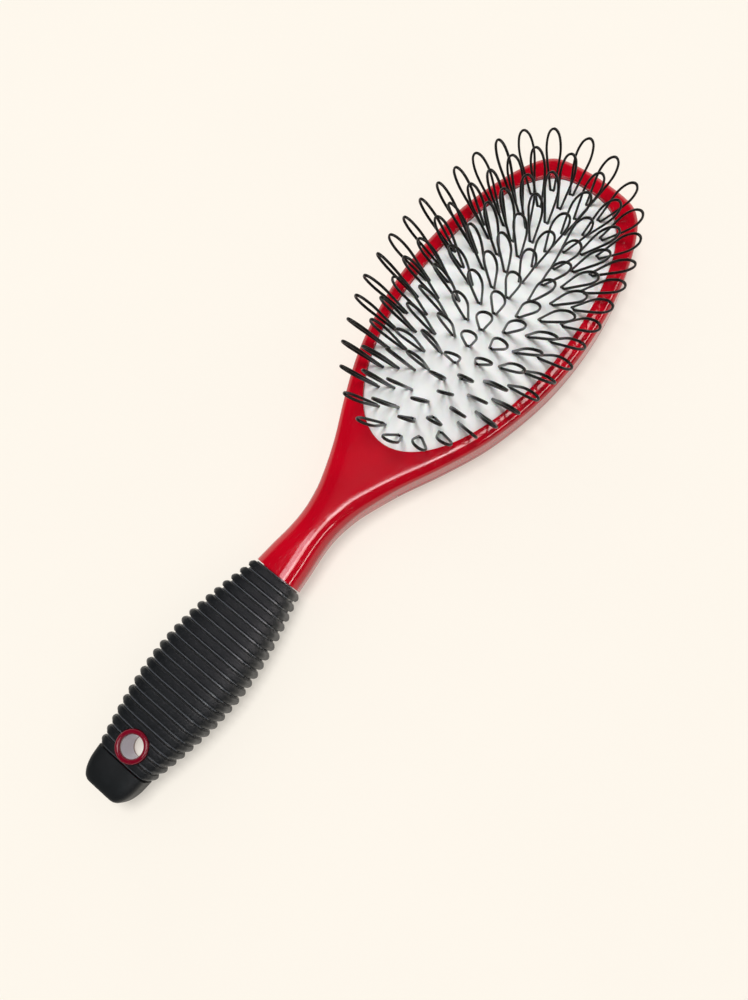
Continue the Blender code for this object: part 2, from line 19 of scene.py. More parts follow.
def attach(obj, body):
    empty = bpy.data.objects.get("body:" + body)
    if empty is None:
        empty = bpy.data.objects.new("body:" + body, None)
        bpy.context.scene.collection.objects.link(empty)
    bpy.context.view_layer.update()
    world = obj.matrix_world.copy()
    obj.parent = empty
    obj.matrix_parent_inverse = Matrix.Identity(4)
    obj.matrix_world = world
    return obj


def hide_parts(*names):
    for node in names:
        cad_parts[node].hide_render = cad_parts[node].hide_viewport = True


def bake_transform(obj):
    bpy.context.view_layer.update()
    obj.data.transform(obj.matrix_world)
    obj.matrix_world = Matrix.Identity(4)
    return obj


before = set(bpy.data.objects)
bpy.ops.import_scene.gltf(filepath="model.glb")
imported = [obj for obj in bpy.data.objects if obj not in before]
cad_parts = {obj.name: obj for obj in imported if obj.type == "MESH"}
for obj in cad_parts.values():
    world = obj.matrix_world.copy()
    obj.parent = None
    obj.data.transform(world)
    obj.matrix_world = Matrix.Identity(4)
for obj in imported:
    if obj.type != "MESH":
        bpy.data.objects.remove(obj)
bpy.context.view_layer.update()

LOG = logging.getLogger("wig_brush")

Colour = tuple[float, float, float]
Place = tuple[float, float, float]
Pair = tuple[float, float]
Row = list[Place]
Mesh = tuple[list[Any], list[tuple[int, ...]]]
Level = Callable[[float], Pair]


class Slot(str, Enum):
    """Material slots of the part's record."""

    RED_PLASTIC = "red_plastic"
    WHITE_RUBBER = "white_rubber"
    BLACK_NYLON = "black_nylon"
    GRIP_RUBBER = "grip_rubber"
    CAP_PLASTIC = "cap_plastic"
    RING_PLASTIC = "ring_plastic"
    TUBE_PLASTIC = "tube_plastic"


class Body(str, Enum):
    """Moving bodies of the part."""

    BRUSH = "brush_body"
    CROWN = "cushion_crown"


# Shader maths

class Wire:
    """A shader socket that can be used in Python expressions."""

    def __init__(self, graph: "Graph", socket: bpy.types.NodeSocket) -> None:
        """Keep the socket and the graph that it belongs to.

        Args:
            graph: Graph that new nodes are added to.
            socket: Output socket of a node in that graph.
        """
        self.graph = graph
        self.socket = socket

    def maths(self, operation: str, *values: "Wire | float") -> "Wire":
        """One Math node on the values."""
        return self.graph.add("ShaderNodeMath", {"operation": operation}, dict(enumerate(values)))

    def beside(self, name: str) -> "Wire":
        """Another output of the node that this wire starts from."""
        return Wire(self.graph, self.socket.node.outputs[name])

    def __add__(self, other: "Wire | float") -> "Wire":
        """Sum of two values."""
        return self.maths("ADD", self, other)

    def __sub__(self, other: "Wire | float") -> "Wire":
        """Difference of two values."""
        return self.maths("SUBTRACT", self, other)

    def __rsub__(self, other: float) -> "Wire":
        """A number less this value."""
        return self.maths("SUBTRACT", other, self)

    def __mul__(self, other: "Wire | float") -> "Wire":
        """Product of two values."""
        return self.maths("MULTIPLY", self, other)

    def __truediv__(self, other: "Wire | float") -> "Wire":
        """Quotient of two values."""
        return self.maths("DIVIDE", self, other)

    def __rtruediv__(self, other: float) -> "Wire":
        """A number divided by this value."""
        return self.maths("DIVIDE", other, self)

    def __neg__(self) -> "Wire":
        """This value with its sign turned."""
        return self * -1.0

    def __abs__(self) -> "Wire":
        """Size of this value without its sign."""
        return self.maths("ABSOLUTE", self)

    __radd__ = __add__
    __rmul__ = __mul__

    def fraction(self) -> "Wire":
        """Part of this value after the point."""
        return self.maths("FRACT", self)

    def step_between(self, low: float, high: float) -> "Wire":
        """Smooth step of this value, from 0 at low to 1 at high, which may be below it."""
        ends = (low, high, 0.0, 1.0) if low < high else (high, low, 1.0, 0.0)
        settings = {"interpolation_type": "SMOOTHSTEP"}
        return self.graph.add("ShaderNodeMapRange", settings, dict(enumerate((self, *ends))))


class Graph:
    """Node tree of a material or of the world, filled from Python expressions."""

    speck_edge: float = 0.5
    hair_stretch: Place = (1.0, 0.03, 1.0)
    hair_edge: float = 0.05

    def __init__(self, tree: bpy.types.NodeTree) -> None:
        """Take over the tree and empty it."""
        self.tree = tree
        tree.nodes.clear()

    def add(
        self,
        kind: str,
        settings: Mapping[str, Any] | None = None,
        inputs: Mapping[Any, Any] | None = None,
        output: int | str = 0,
    ) -> Wire:
        """Any node, with its settings made first and its sockets fed after.

        Args:
            kind: Type of the node.
            settings: Values of the node's own settings.
            inputs: Numbers, tuples or wires for the node's sockets, by place or name.
            output: Socket that the returned wire starts from.

        Returns:
            Wire on the chosen output of the node.
        """
        node = self.tree.nodes.new(kind)
        for name, value in (settings or {}).items():
            setattr(node, name, value)
        for place, value in (inputs or {}).items():
            if isinstance(value, Wire):
                self.tree.links.new(value.socket, node.inputs[place])
            else:
                node.inputs[place].default_value = value
        return Wire(self, node.outputs[output] if len(node.outputs) else None)

    def place(self) -> Wire:
        """Place on the object, in metres."""
        return self.add("ShaderNodeTexCoord", output="Object")

    def stretched(self, factors: Place, where: Wire | None = None) -> Wire:
        """A place, or the place on the object, stretched by a factor along each axis."""
        inputs = {0: where or self.place(), 1: factors}
        return self.add("ShaderNodeVectorMath", {"operation": "MULTIPLY"}, inputs)

    def axis(self, index: int) -> Wire:
        """One coordinate of the place on the object, in metres."""
        return self.add("ShaderNodeSeparateXYZ", None, {0: self.place()}, index)

    def noise(
        self, size: float, detail: float = 2.0, roughness: float = 0.5, where: Wire | None = None
    ) -> Wire:
        """Soft random value about 0.5.

        Args:
            size: Width of one blotch in metres.
            detail: Number of finer layers.
            roughness: Strength of the finer layers.
            where: Place to read it at, if not the place on the object.

        Returns:
            Value from 0 to 1.
        """
        layers = {"Detail": detail, "Roughness": roughness}
        inputs = {"Vector": where or self.place(), "Scale": 1.0 / size, **layers}
        return self.add("ShaderNodeTexNoise", None, inputs)

    def specks(self, size: float, radius: float, share: float) -> Wire:
        """Mask of small round specks.

        Args:
            size: Width of a cell that may hold one speck, in metres.
            radius: Radius of a speck as a share of its cell.
            share: Share of the cells that hold a speck.

        Returns:
            Mask that is 1 on a speck.
        """
        inputs = {"Vector": self.place(), "Scale": 1.0 / size}
        cell = self.add("ShaderNodeTexVoronoi", None, inputs, "Color")
        chance = self.add("ShaderNodeSeparateColor", None, {0: cell})
        near = cell.beside("Distance").step_between(radius, radius * self.speck_edge)
        return near * chance.step_between(1 - share - 0.01, 1 - share)

    def hairlines(self, size: float, turn: float, share: float) -> Wire:
        """Mask of fine scratches that all run one way.

        Args:
            size: Width between scratches in metres.
            turn: Angle of the scratches from the length of the brush, in degrees.
            share: Share of the surface without scratches.

        Returns:
            Mask that is 1 in a scratch.
        """
        inputs = {"Vector": self.place(), "Angle": math.radians(turn)}
        turned = self.add("ShaderNodeVectorRotate", {"rotation_type": "Z_AXIS"}, inputs)
        drawn = self.stretched(self.hair_stretch, turned)
        return self.noise(size, 1.0, 0.4, drawn).step_between(share, share + self.hair_edge)

    def blend(self, mask: Wire | float, low: Wire | Colour, high: Wire | Colour) -> Wire:
        """Mix of two colours."""
        ends = [end if isinstance(end, Wire) else (*end, 1.0) for end in (low, high)]
        return self.add("ShaderNodeMix", {"data_type": "RGBA"}, {0: mask, 6: ends[0], 7: ends[1]}, 2)

    def bump(self, height: Wire, depth: float, below: Wire | None = None, strength: float = 1.0) -> Wire:
        """Surface normal from a height.

        Args:
            height: Height as a share of the depth.
            depth: Depth of the relief in metres.
            below: Normal that this relief is added to.
            strength: Strength of the effect.

        Returns:
            Wire for a Normal socket.
        """
        inputs: dict[str, Any] = {"Height": height, "Distance": depth, "Strength": strength}
        if below is not None:
            inputs["Normal"] = below
        return self.add("ShaderNodeBump", None, inputs)

    def seen_directly(self) -> Wire:
        """1 for rays from the camera, or from it by way of a gloss or a clear body."""
        camera = self.add("ShaderNodeLightPath", output="Is Camera Ray")
        return camera + camera.beside("Is Glossy Ray") + camera.beside("Is Transmission Ray")

    def show(self, shader: Wire, kind: str = "ShaderNodeOutputMaterial") -> None:
        """Make a shader the one that the material or the world shows."""
        self.add(kind, None, {"Surface": shader})


def start_material(name: str) -> tuple[bpy.types.Material, Graph]:
    """New material and its empty graph."""
    made = bpy.data.materials.new(name)
    made.use_nodes = True
    return made, Graph(made.node_tree)


@dataclass(frozen=True)
class Finish:
    """Ground colour and gloss of a surface; each kind adds its own detail."""

    slot: Slot
    colour: Colour
    roughness: float

    def material(self) -> bpy.types.Material:
        """Material with the detail of this finish."""
        made, graph = start_material(self.slot.value + "_finish")
        graph.show(graph.add("ShaderNodeBsdfPrincipled", None, self.surface(graph)))
        made.diffuse_color = (*self.colour, 1.0)
        return made

    def surface(self, graph: Graph) -> dict[str, Any]:
        """Inputs of the main shader."""
        return {"Base Color": (*self.colour, 1.0), "Roughness": self.roughness}

    def shade(self, factor: float) -> Colour:
        """The ground colour made lighter or darker."""
        return tuple(min(1.0, part * factor) for part in self.colour)


@dataclass(frozen=True)
class PolishedPlastic(Finish):
    """Glossy moulded plastic with faint flow marks, hairlines and dust."""

    flow_size: float = 0.022
    deep_share: float = 0.86
    dust_size: float = 0.0024
    fine_dust_size: float = 0.0011
    dust_colour: Colour = (0.75, 0.62, 0.56)
    dust_share: float = 0.10
    hair_size: float = 0.00022
    scratch_size: float = 0.00030
    scratch_depth: float = 1.1
    scratch_turns: tuple[float, ...] = (38.0, -52.0, 81.0)
    smudge_size: float = 0.008
    peel_size: float = 0.0035
    relief: float = 0.000012

    def surface(self, graph: Graph) -> dict[str, Any]:
        """Inputs of the main shader."""
        flow = graph.noise(self.flow_size, 3.0).step_between(0.35, 0.70)
        colour = graph.blend(flow, self.colour, self.shade(self.deep_share))
        dust = graph.specks(self.dust_size, 0.045, self.dust_share)
        fine_dust = graph.specks(self.fine_dust_size, 0.05, self.dust_share)
        colour = graph.blend(dust * 0.45 + fine_dust * 0.22, colour, self.dust_colour)
        hairs = graph.hairlines(self.hair_size, 0.0, 0.66)
        for turn in self.scratch_turns:
            hairs = hairs + graph.hairlines(self.scratch_size, turn, 0.70)
        smudge = graph.noise(self.smudge_size, 4.0, 0.62).step_between(0.48, 0.72)
        roughness = self.roughness + smudge * 0.035 + hairs * 0.03 + dust * 0.3
        peel = graph.bump(graph.noise(self.peel_size, 2.0), self.relief)
        normal = graph.bump(dust - hairs * self.scratch_depth, self.relief, peel, 0.6)
        return {
            "Base Color": colour,
            "Roughness": roughness,
            "Normal": normal,
            "Coat Weight": 0.25,
            "Coat Roughness": 0.04,
        }


@dataclass(frozen=True)
class SoftRubber(Finish):
    """Smooth pale rubber with a fine skin and a faint cloudiness."""

    warm_colour: Colour = (0.940, 0.945, 0.930)
    cloud_size: float = 0.012
    speck_size: float = 0.0030
    grain_size: float = 0.00035
    grain_depth: float = 0.000006
    wave_size: float = 0.006
    wave_depth: float = 0.00004

    def surface(self, graph: Graph) -> dict[str, Any]:
        """Inputs of the main shader."""
        cloud = graph.noise(self.cloud_size, 3.0).step_between(0.30, 0.75)
        colour = graph.blend(cloud * 0.5, self.colour, self.warm_colour)
        specks = graph.specks(self.speck_size, 0.030, 0.12)
        colour = graph.blend(specks * 0.30, colour, self.shade(0.45))
        grain = graph.noise(self.grain_size, 3.0)
        roughness = self.roughness + (grain - 0.5) * 0.10
        waves = graph.bump(graph.noise(self.wave_size, 2.0), self.wave_depth)
        normal = graph.bump(grain, self.grain_depth, waves, 0.5)
        return {
            "Base Color": colour,
            "Roughness": roughness,
            "Normal": normal,
            "Subsurface Weight": 0.12,
            "Subsurface Scale": 0.0012,
        }


@dataclass(frozen=True)
class DrawnNylon(Finish):
    """Black filament with a soft sheen and faint dust."""

    dust_colour: Colour = (0.045, 0.043, 0.037)
    patch_size: float = 0.0016
    gloss_size: float = 0.0005
    grain_size: float = 0.00012
    grain_depth: float = 0.000002

    def surface(self, graph: Graph) -> dict[str, Any]:
        """Inputs of the main shader."""
        patches = graph.noise(self.patch_size, 3.0).step_between(0.45, 0.80)
        colour = graph.blend(patches * 0.35, self.colour, self.dust_colour)
        roughness = self.roughness + (graph.noise(self.gloss_size, 2.0) - 0.5) * 0.16
        normal = graph.bump(graph.noise(self.grain_size, 2.0), self.grain_depth, None, 0.5)
        return {"Base Color": colour, "Roughness": roughness, "Normal": normal, "Specular IOR Level": 0.32}


@dataclass(frozen=True)
class RibbedRubber(Finish):
    """Satin rubber with a fine grain and rubbed crests, glossy in the grooves, with painted shade in the
    grooves and a painted highlight line along each.
    """

    groove_band: Pair = (0.36, 0.40)
    # Where the painted highlight line lies in each groove, as a distance from the crest.
    highlight_band: Pair = (0.430, 0.455)
    groove_roughness: float = 0.24
    # Colour of the painted highlight line, which stands for a lamp's reflection in each groove.
    painted_highlight_colour: Colour = (0.070, 0.076, 0.088)
    speckle_colour: Colour = (0.030, 0.032, 0.033)
    start: float = 0.1038
    pitch: float = 0.00315
    dust_colour: Colour = (0.060, 0.058, 0.052)
    dust_size: float = 0.0012
    wear_size: float = 0.004
    wear_depth: float = 0.000015
    speckle_size: float = 0.00055
    grain_size: float = 0.00040
    grain_depth: float = 0.000045

    def surface(self, graph: Graph) -> dict[str, Any]:
        """Inputs of the main shader."""
        phase = ((-graph.axis(1) - self.start) / self.pitch).fraction()
        from_crest = abs(phase - 0.5)
        groove = from_crest.step_between(*self.groove_band)
        wear = graph.noise(self.wear_size, 4.0, 0.6).step_between(0.40, 0.70)
        colour = graph.blend(wear * 0.5, self.colour, self.shade(1.7))
        speckle = graph.noise(self.speckle_size, 2.0, 0.7).step_between(0.58, 0.68)
        colour = graph.blend(speckle * 0.6, colour, self.speckle_colour)
        # Painted shade: the recessed grooves are darkened to a quarter of the ground colour.
        colour = graph.blend(groove, colour, self.shade(0.25))
        # Painted highlight: a thin pale line along the middle of each groove stands for a reflection.
        line = from_crest.step_between(*self.highlight_band)
        colour = graph.blend(line, colour, self.painted_highlight_colour)
        dust = groove * graph.noise(self.dust_size, 3.0).step_between(0.42, 0.62)
        colour = graph.blend(dust * 0.15, colour, self.dust_colour)
        grain = graph.noise(self.grain_size, 3.0, 0.65)
        roughness = self.roughness + (grain - 0.5) * 0.20 + wear * 0.05
        roughness = roughness + groove * (self.groove_roughness - self.roughness)
        rubbed = graph.bump(wear, self.wear_depth)
        normal = graph.bump(grain * (1.0 - groove), self.grain_depth, rubbed, 0.9)
        return {
            "Base Color": colour,
            "Roughness": roughness,
            "Normal": normal,
            "Specular IOR Level": 0.40,
            "Sheen Weight": 0.11,
            "Sheen Roughness": 0.35,
        }


@dataclass(frozen=True)
class GrainedPlastic(Finish):
    """Black plastic with the fine spark-eroded grain of its mould."""

    grain_size: float = 0.00030
    grain_depth: float = 0.000028
    blotch_size: float = 0.0035

    def surface(self, graph: Graph) -> dict[str, Any]:
        """Inputs of the main shader."""
        grain = graph.noise(self.grain_size, 4.0, 0.65)
        blotch = graph.noise(self.blotch_size, 3.0)
        colour = graph.blend(blotch.step_between(0.4, 0.8) * 0.5, self.colour, self.shade(1.9))
        roughness = self.roughness + (grain - 0.5) * 0.20
        return {
            "Base Color": colour,
            "Roughness": roughness,
            "Normal": graph.bump(grain, self.grain_depth, None, 0.8),
            "Specular IOR Level": 0.35,
        }


@dataclass(frozen=True)
class PaleTube(Finish):
    """Smooth pale plastic of the eyelet's tube, with turning lines."""

    line_size: float = 0.00035
    line_depth: float = 0.00001
    line_stretch: Place = (0.05, 0.05, 1.0)

    def surface(self, graph: Graph) -> dict[str, Any]:
        """Inputs of the main shader."""
        lines = graph.noise(self.line_size, 2.0, 0.5, graph.stretched(self.line_stretch))
        colour = graph.blend(lines.step_between(0.45, 0.75) * 0.4, self.colour, self.shade(0.82))
        roughness = self.roughness + (graph.noise(0.0006) - 0.5) * 0.12
        normal = graph.bump(lines, self.line_depth, None, 0.4)
        return {"Base Color": colour, "Roughness": roughness, "Normal": normal}


FINISHES: dict[Slot, Finish] = {
    finish.slot: finish
    for finish in (
        PolishedPlastic(Slot.RED_PLASTIC, (0.530, 0.0010, 0.012), 0.09),
        SoftRubber(Slot.WHITE_RUBBER, (0.950, 0.970, 0.965), 0.50),
        DrawnNylon(Slot.BLACK_NYLON, (0.005, 0.005, 0.004), 0.30),
        RibbedRubber(Slot.GRIP_RUBBER, (0.0035, 0.0048, 0.0062), 0.46),
        GrainedPlastic(Slot.CAP_PLASTIC, (0.0050, 0.0065, 0.0075), 0.50),
        PolishedPlastic(Slot.RING_PLASTIC, (0.190, 0.0025, 0.015), 0.10),
        PaleTube(Slot.TUBE_PLASTIC, (0.880, 0.860, 0.930), 0.36),
    )
}


# Mesh helpers

def place_object(name: str, data: bpy.types.ID) -> bpy.types.Object:
    """New object in the scene."""
    made = bpy.data.objects.new(name, data)
    bpy.context.scene.collection.objects.link(made)
    return made


def make_piece(
    name: str, vertices: Sequence[Any], faces: Sequence[Sequence[int]], sharp: float = 40.0
) -> bpy.types.Object:
    """Closed mesh with its faces turned outwards and its round faces smooth.

    Args:
        name: Name of the new object.
        vertices: Points of the mesh.
        faces: Faces as places in the list of points.
        sharp: Angle in degrees from which an edge stays sharp.

    Returns:
        The new object, linked to the scene.
    """
    mesh = bpy.data.meshes.new(name)
    mesh.from_pydata([tuple(vertex) for vertex in vertices], [], [tuple(face) for face in faces])
    shape = bmesh.new()
    shape.from_mesh(mesh)
    bmesh.ops.recalc_face_normals(shape, faces=shape.faces)
    shape.to_mesh(mesh)
    shape.free()
    made = place_object(name, mesh)
    smooth(made, sharp)
    return made


def smooth(piece: bpy.types.Object, sharp: float = 40.0) -> None:
    """Shade round faces smooth and keep the edges above an angle in degrees sharp."""
    piece.data.shade_smooth()
    piece.data.set_sharp_from_angle(angle=math.radians(sharp))


def carve(target: bpy.types.Object, tool: bpy.types.Object, operation: str = "DIFFERENCE") -> None:
    """Carry out one Boolean on the target and take the tool away."""
    modifier = target.modifiers.new("carve", "BOOLEAN")
    modifier.object = tool
    modifier.operation = operation
    modifier.solver = "EXACT"
    evaluated = target.evaluated_get(bpy.context.evaluated_depsgraph_get())
    result = bpy.data.meshes.new_from_object(evaluated)
    target.modifiers.clear()
    before = target.data
    target.data = result
    bpy.data.meshes.remove(before)
    bpy.data.objects.remove(tool, do_unlink=True)


def skin(rows: Sequence[Sequence[Any]], wrap: bool = False) -> Mesh:
    """Faces between closed rows of equal length.

    Args:
        rows: Rows of points, in order.
        wrap: Whether the last row joins the first.

    Returns:
        Points and faces.
    """
    size = len(rows[0])
    vertices = [point for row in rows for point in row]
    faces: list[tuple[int, ...]] = []
    for row in range(len(rows) if wrap else len(rows) - 1):
        low = row * size
        high = ((row + 1) % len(rows)) * size
        for step in range(size):
            after = (step + 1) % size
            faces.append((low + step, low + after, high + after, high + step))
    return vertices, faces


def capped(rows: Sequence[Sequence[Any]]) -> Mesh:
    """Points and faces of a skin with a flat face over each end."""
    vertices, faces = skin(rows)
    size = len(rows[0])
    faces.append(tuple(range(size)))
    faces.append(tuple(range(len(vertices) - size, len(vertices))))
    return vertices, faces


def loft(name: str, rows: Sequence[Sequence[Any]], sharp: float = 40.0) -> bpy.types.Object:
    """Solid through closed rows, with a flat face over each end."""
    return make_piece(name, *capped(rows), sharp)


def prism(name: str, plan: Sequence[Pair], low: float, high: float) -> bpy.types.Object:
    """Solid over a plan, from one height to another."""
    return loft(name, [[(x, y, z) for x, y in plan] for z in (low, high)])


def round_plan(radius: float, sides: int, middle: float = 0.0) -> list[Pair]:
    """Points on a circle about a place on the middle line of the brush."""
    angles = [math.tau * side / sides for side in range(sides)]
    return [(radius * math.cos(angle), middle + radius * math.sin(angle)) for angle in angles]


def smooth_curve(knots: Sequence[Vector], steps: int, last: Vector | None = None) -> list[Vector]:
    """Points on a smooth curve through the knots.

    Args:
        knots: Points that the curve passes through.
        steps: Number of points from one knot to the next.
        last: Knot beyond the end, if the curve doesn't simply run on.

    Returns:
        Points of the curve, the last knot among them.
    """
    first = knots[0] * 2 - knots[1]
    line = [first, *knots, last if last is not None else knots[-1] * 2 - knots[-2]]
    points = []
    for index in range(1, len(line) - 2):
        before, start, end, after = line[index - 1:index + 3]
        for step in range(steps):
            t = step / steps
            straight = (end - before) * t
            bent = (before * 2 - start * 5 + end * 4 - after) * t ** 2
            turned = (start * 3 - before - end * 3 + after) * t ** 3
            points.append(start + (straight + bent + turned) / 2)
    points.append(knots[-1].copy())
    return points


def smooth_step(value: float) -> float:
    """Smooth step from 0 to 1."""
    share = min(1.0, max(0.0, value))
    return share * share * (3 - 2 * share)


def signed_power(value: float, power: float) -> float:
    """Power of a number that keeps its sign."""
    return math.copysign(abs(value) ** power, value)


def hand_over(piece: bpy.types.Object, slot: Slot, body: Body | None, replaced: Iterable[str] = ()) -> None:
    """Args:
        piece: Finished piece in its place.
        slot: Material slot that it takes its finish from.
        body: Body that it rides on, or nothing to leave it unattached.
        replaced: Nodes of the part that it stands for.
    """
    piece.data.materials.clear()
    piece.data.materials.append(Workshop.material(slot))
    if body is not None:
        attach(piece, body.value)
    names = tuple(replaced)
    if names:
        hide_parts(*names)
    LOG.info("%s: %d faces, %s", piece.name, len(piece.data.polygons), slot.value)


class Workshop:
    """Keeps one material for each slot."""

    made: dict[Slot, bpy.types.Material] = {}

    @classmethod
    def material(cls, slot: Slot) -> bpy.types.Material:
        """Material of a slot, made the first time that it is asked for."""
        if slot not in cls.made:
            cls.made[slot] = FINISHES[slot].material()
        return cls.made[slot]


# Shape of the head

@dataclass(frozen=True)
class HeadForm:
    """Outline and heights of the head and neck."""

    half_width: float = 0.0305
    tip: float = 0.0549
    neck_end: float = 0.1035
    neck_half_width: float = 0.0063
    thickness: float = 0.0130
    neck_thickness: float = 0.0120
    rise_start: float = 0.050
    back_lift_start: float = 0.064
    rise_end: float = 0.092
    edge_width: float = 0.0048
    edge_drop: float = 0.0024
    neck_edge_width: float = 0.0062
    neck_edge_drop: float = 0.0047
    back_radius: float = 0.0025
    neck_radius: float = 0.0047
    neck_room: float = 0.93
    grip_axis: float = 0.0078
    steps: int = 9
    line_gap: float = 0.0002
    least_slope: float = 0.05
    neck_shares: tuple[Pair, ...] = ((1.24, 1.0), (1.15, 0.937), (1.04, 0.879), (1.0, 0.824), (1.07, 0.772))
    shoulder_shares: tuple[Pair, ...] = (
        (0.270, 0.705),
        (0.410, 0.594),
        (0.617, 0.468),
        (0.794, 0.346),
        (0.911, 0.223),
        (0.983, 0.097),
    )
    head_shares: tuple[Pair, ...] = (
        (1.0, 0.055),
        (0.967, 0.300),
        (0.895, 0.510),
        (0.796, 0.690),
        (0.685, 0.832),
        (0.569, 0.926),
        (0.396, 0.980),
        (0.0, 1.0),
    )

    def outline(self) -> list[Vector]:
        """Right side of the outline, from the end of the neck to the tip."""
        knots = [Vector((x * self.neck_half_width, -y * self.neck_end)) for x, y in self.neck_shares]
        knots += [Vector((x * self.half_width, -y * self.neck_end)) for x, y in self.shoulder_shares]
        knots += [Vector((x * self.half_width, y * self.tip)) for x, y in self.head_shares]
        return smooth_curve(knots, self.steps, Vector((-knots[-2].x, knots[-2].y)))

    def above(self, lowest: float) -> list[Vector]:
        """The outline above a line across the neck, with a point on that line."""
        points = self.outline()
        kept = [point for point in points if point.y > lowest + self.line_gap]
        below = points[len(points) - len(kept) - 1]
        share = (lowest - below.y) / (kept[0].y - below.y)
        return [below.lerp(kept[0], share), *kept]

    def blend(self, y: float, start: float = rise_start) -> float:
        """0 above the start, 1 at the end of the neck and a smooth step between."""
        return smooth_step((-y - start) / (self.rise_end - start))

    def top(self, y: float) -> float:
        """Height of the top face."""
        neck_top = self.grip_axis + self.neck_thickness / 2
        return self.thickness + (neck_top - self.thickness) * self.blend(y)

    def back(self, y: float) -> float:
        """Height of the back face."""
        return (self.grip_axis - self.neck_thickness / 2) * self.blend(y, self.back_lift_start)

    def towards_neck(self, y: float, on_head: float, on_neck: float) -> float:
        """Size that goes from one value on the head to another on the neck."""
        return on_head + (on_neck - on_head) * self.blend(y)

    def back_level(self, share: float) -> Level:
        """Inset and height on the rounded back edge, from the flat at 0 to the wall at 1."""
        angle = math.pi / 2 * (1 - share)

        def level(y: float) -> Pair:
            """Inset and height at one place along the brush."""
            radius = self.towards_neck(y, self.back_radius, self.neck_radius)
            return radius * (1 - math.cos(angle)), self.back(y) + radius * (1 - math.sin(angle))
        return level

    def top_level(self, share: float) -> Level:
        """Inset and height on the rounded top edge, from the wall at 0 to the flat at 1."""
        angle = math.pi / 2 * share

        def level(y: float) -> Pair:
            """Inset and height at one place along the brush."""
            width = self.towards_neck(y, self.edge_width, self.neck_edge_width)
            drop = self.towards_neck(y, self.edge_drop, self.neck_edge_drop)
            return width * (1 - math.cos(angle)), self.top(y) - drop * (1 - math.sin(angle))
        return level

    def fitted(self, point: Vector, normal: Vector, inset: float) -> Vector:
        """Point moved inwards, by less where the neck is too narrow for the whole edge."""
        if point.y < 0:
            room = self.neck_room * point.x / max(abs(normal.x), self.least_slope)
            inset *= min(1.0, room / self.towards_neck(point.y, self.edge_width, self.neck_edge_width))
        return point + normal * inset

    @staticmethod
    def inward(points: Sequence[Vector]) -> list[Vector]:
        """Direction into the body at each point of the outline."""
        normals = [Vector((-1, 0))]
        for before, after in zip(points, points[2:]):
            along = after - before
            normals.append(Vector((-along.y, along.x)).normalized())
        normals.append(Vector((0, -1)))
        return normals


@dataclass(frozen=True)
class WindowForm:
    """Curve of the window in the head and of the rings that follow it."""

    half_width: float = 0.0255
    tip_end: float = 0.0492
    low_end: float = 0.0534
    tip_squareness: float = 0.72
    low_squareness: float = 1.0

    @property
    def half_length(self) -> float:
        """Half of the window's length."""
        return (self.tip_end + self.low_end) / 2

    @property
    def centre(self) -> float:
        """Middle of the window along the brush."""
        return self.tip_end - self.half_length

    def squareness(self, upward: float) -> float:
        """Squareness of the curve on its tip side or its low side."""
        return self.tip_squareness if upward > 0 else self.low_squareness

    def point(self, angle: float, half_width: float, half_length: float, roundness: float = 1.0) -> Pair:
        """Point on a curve of the window's shape."""
        power = self.squareness(math.sin(angle)) * roundness
        x = half_width * signed_power(math.cos(angle), power)
        return x, self.centre + half_length * math.sin(angle)

    def plan(self, growth: float, steps: int) -> list[Pair]:
        """Closed plan of the window, grown outwards or inwards."""
        angles = [math.tau * step / steps for step in range(steps)]
        return [self.point(angle, self.half_width + growth, self.half_length + growth) for angle in angles]


HEAD = HeadForm()
WINDOW = WindowForm()


# Shells of the head

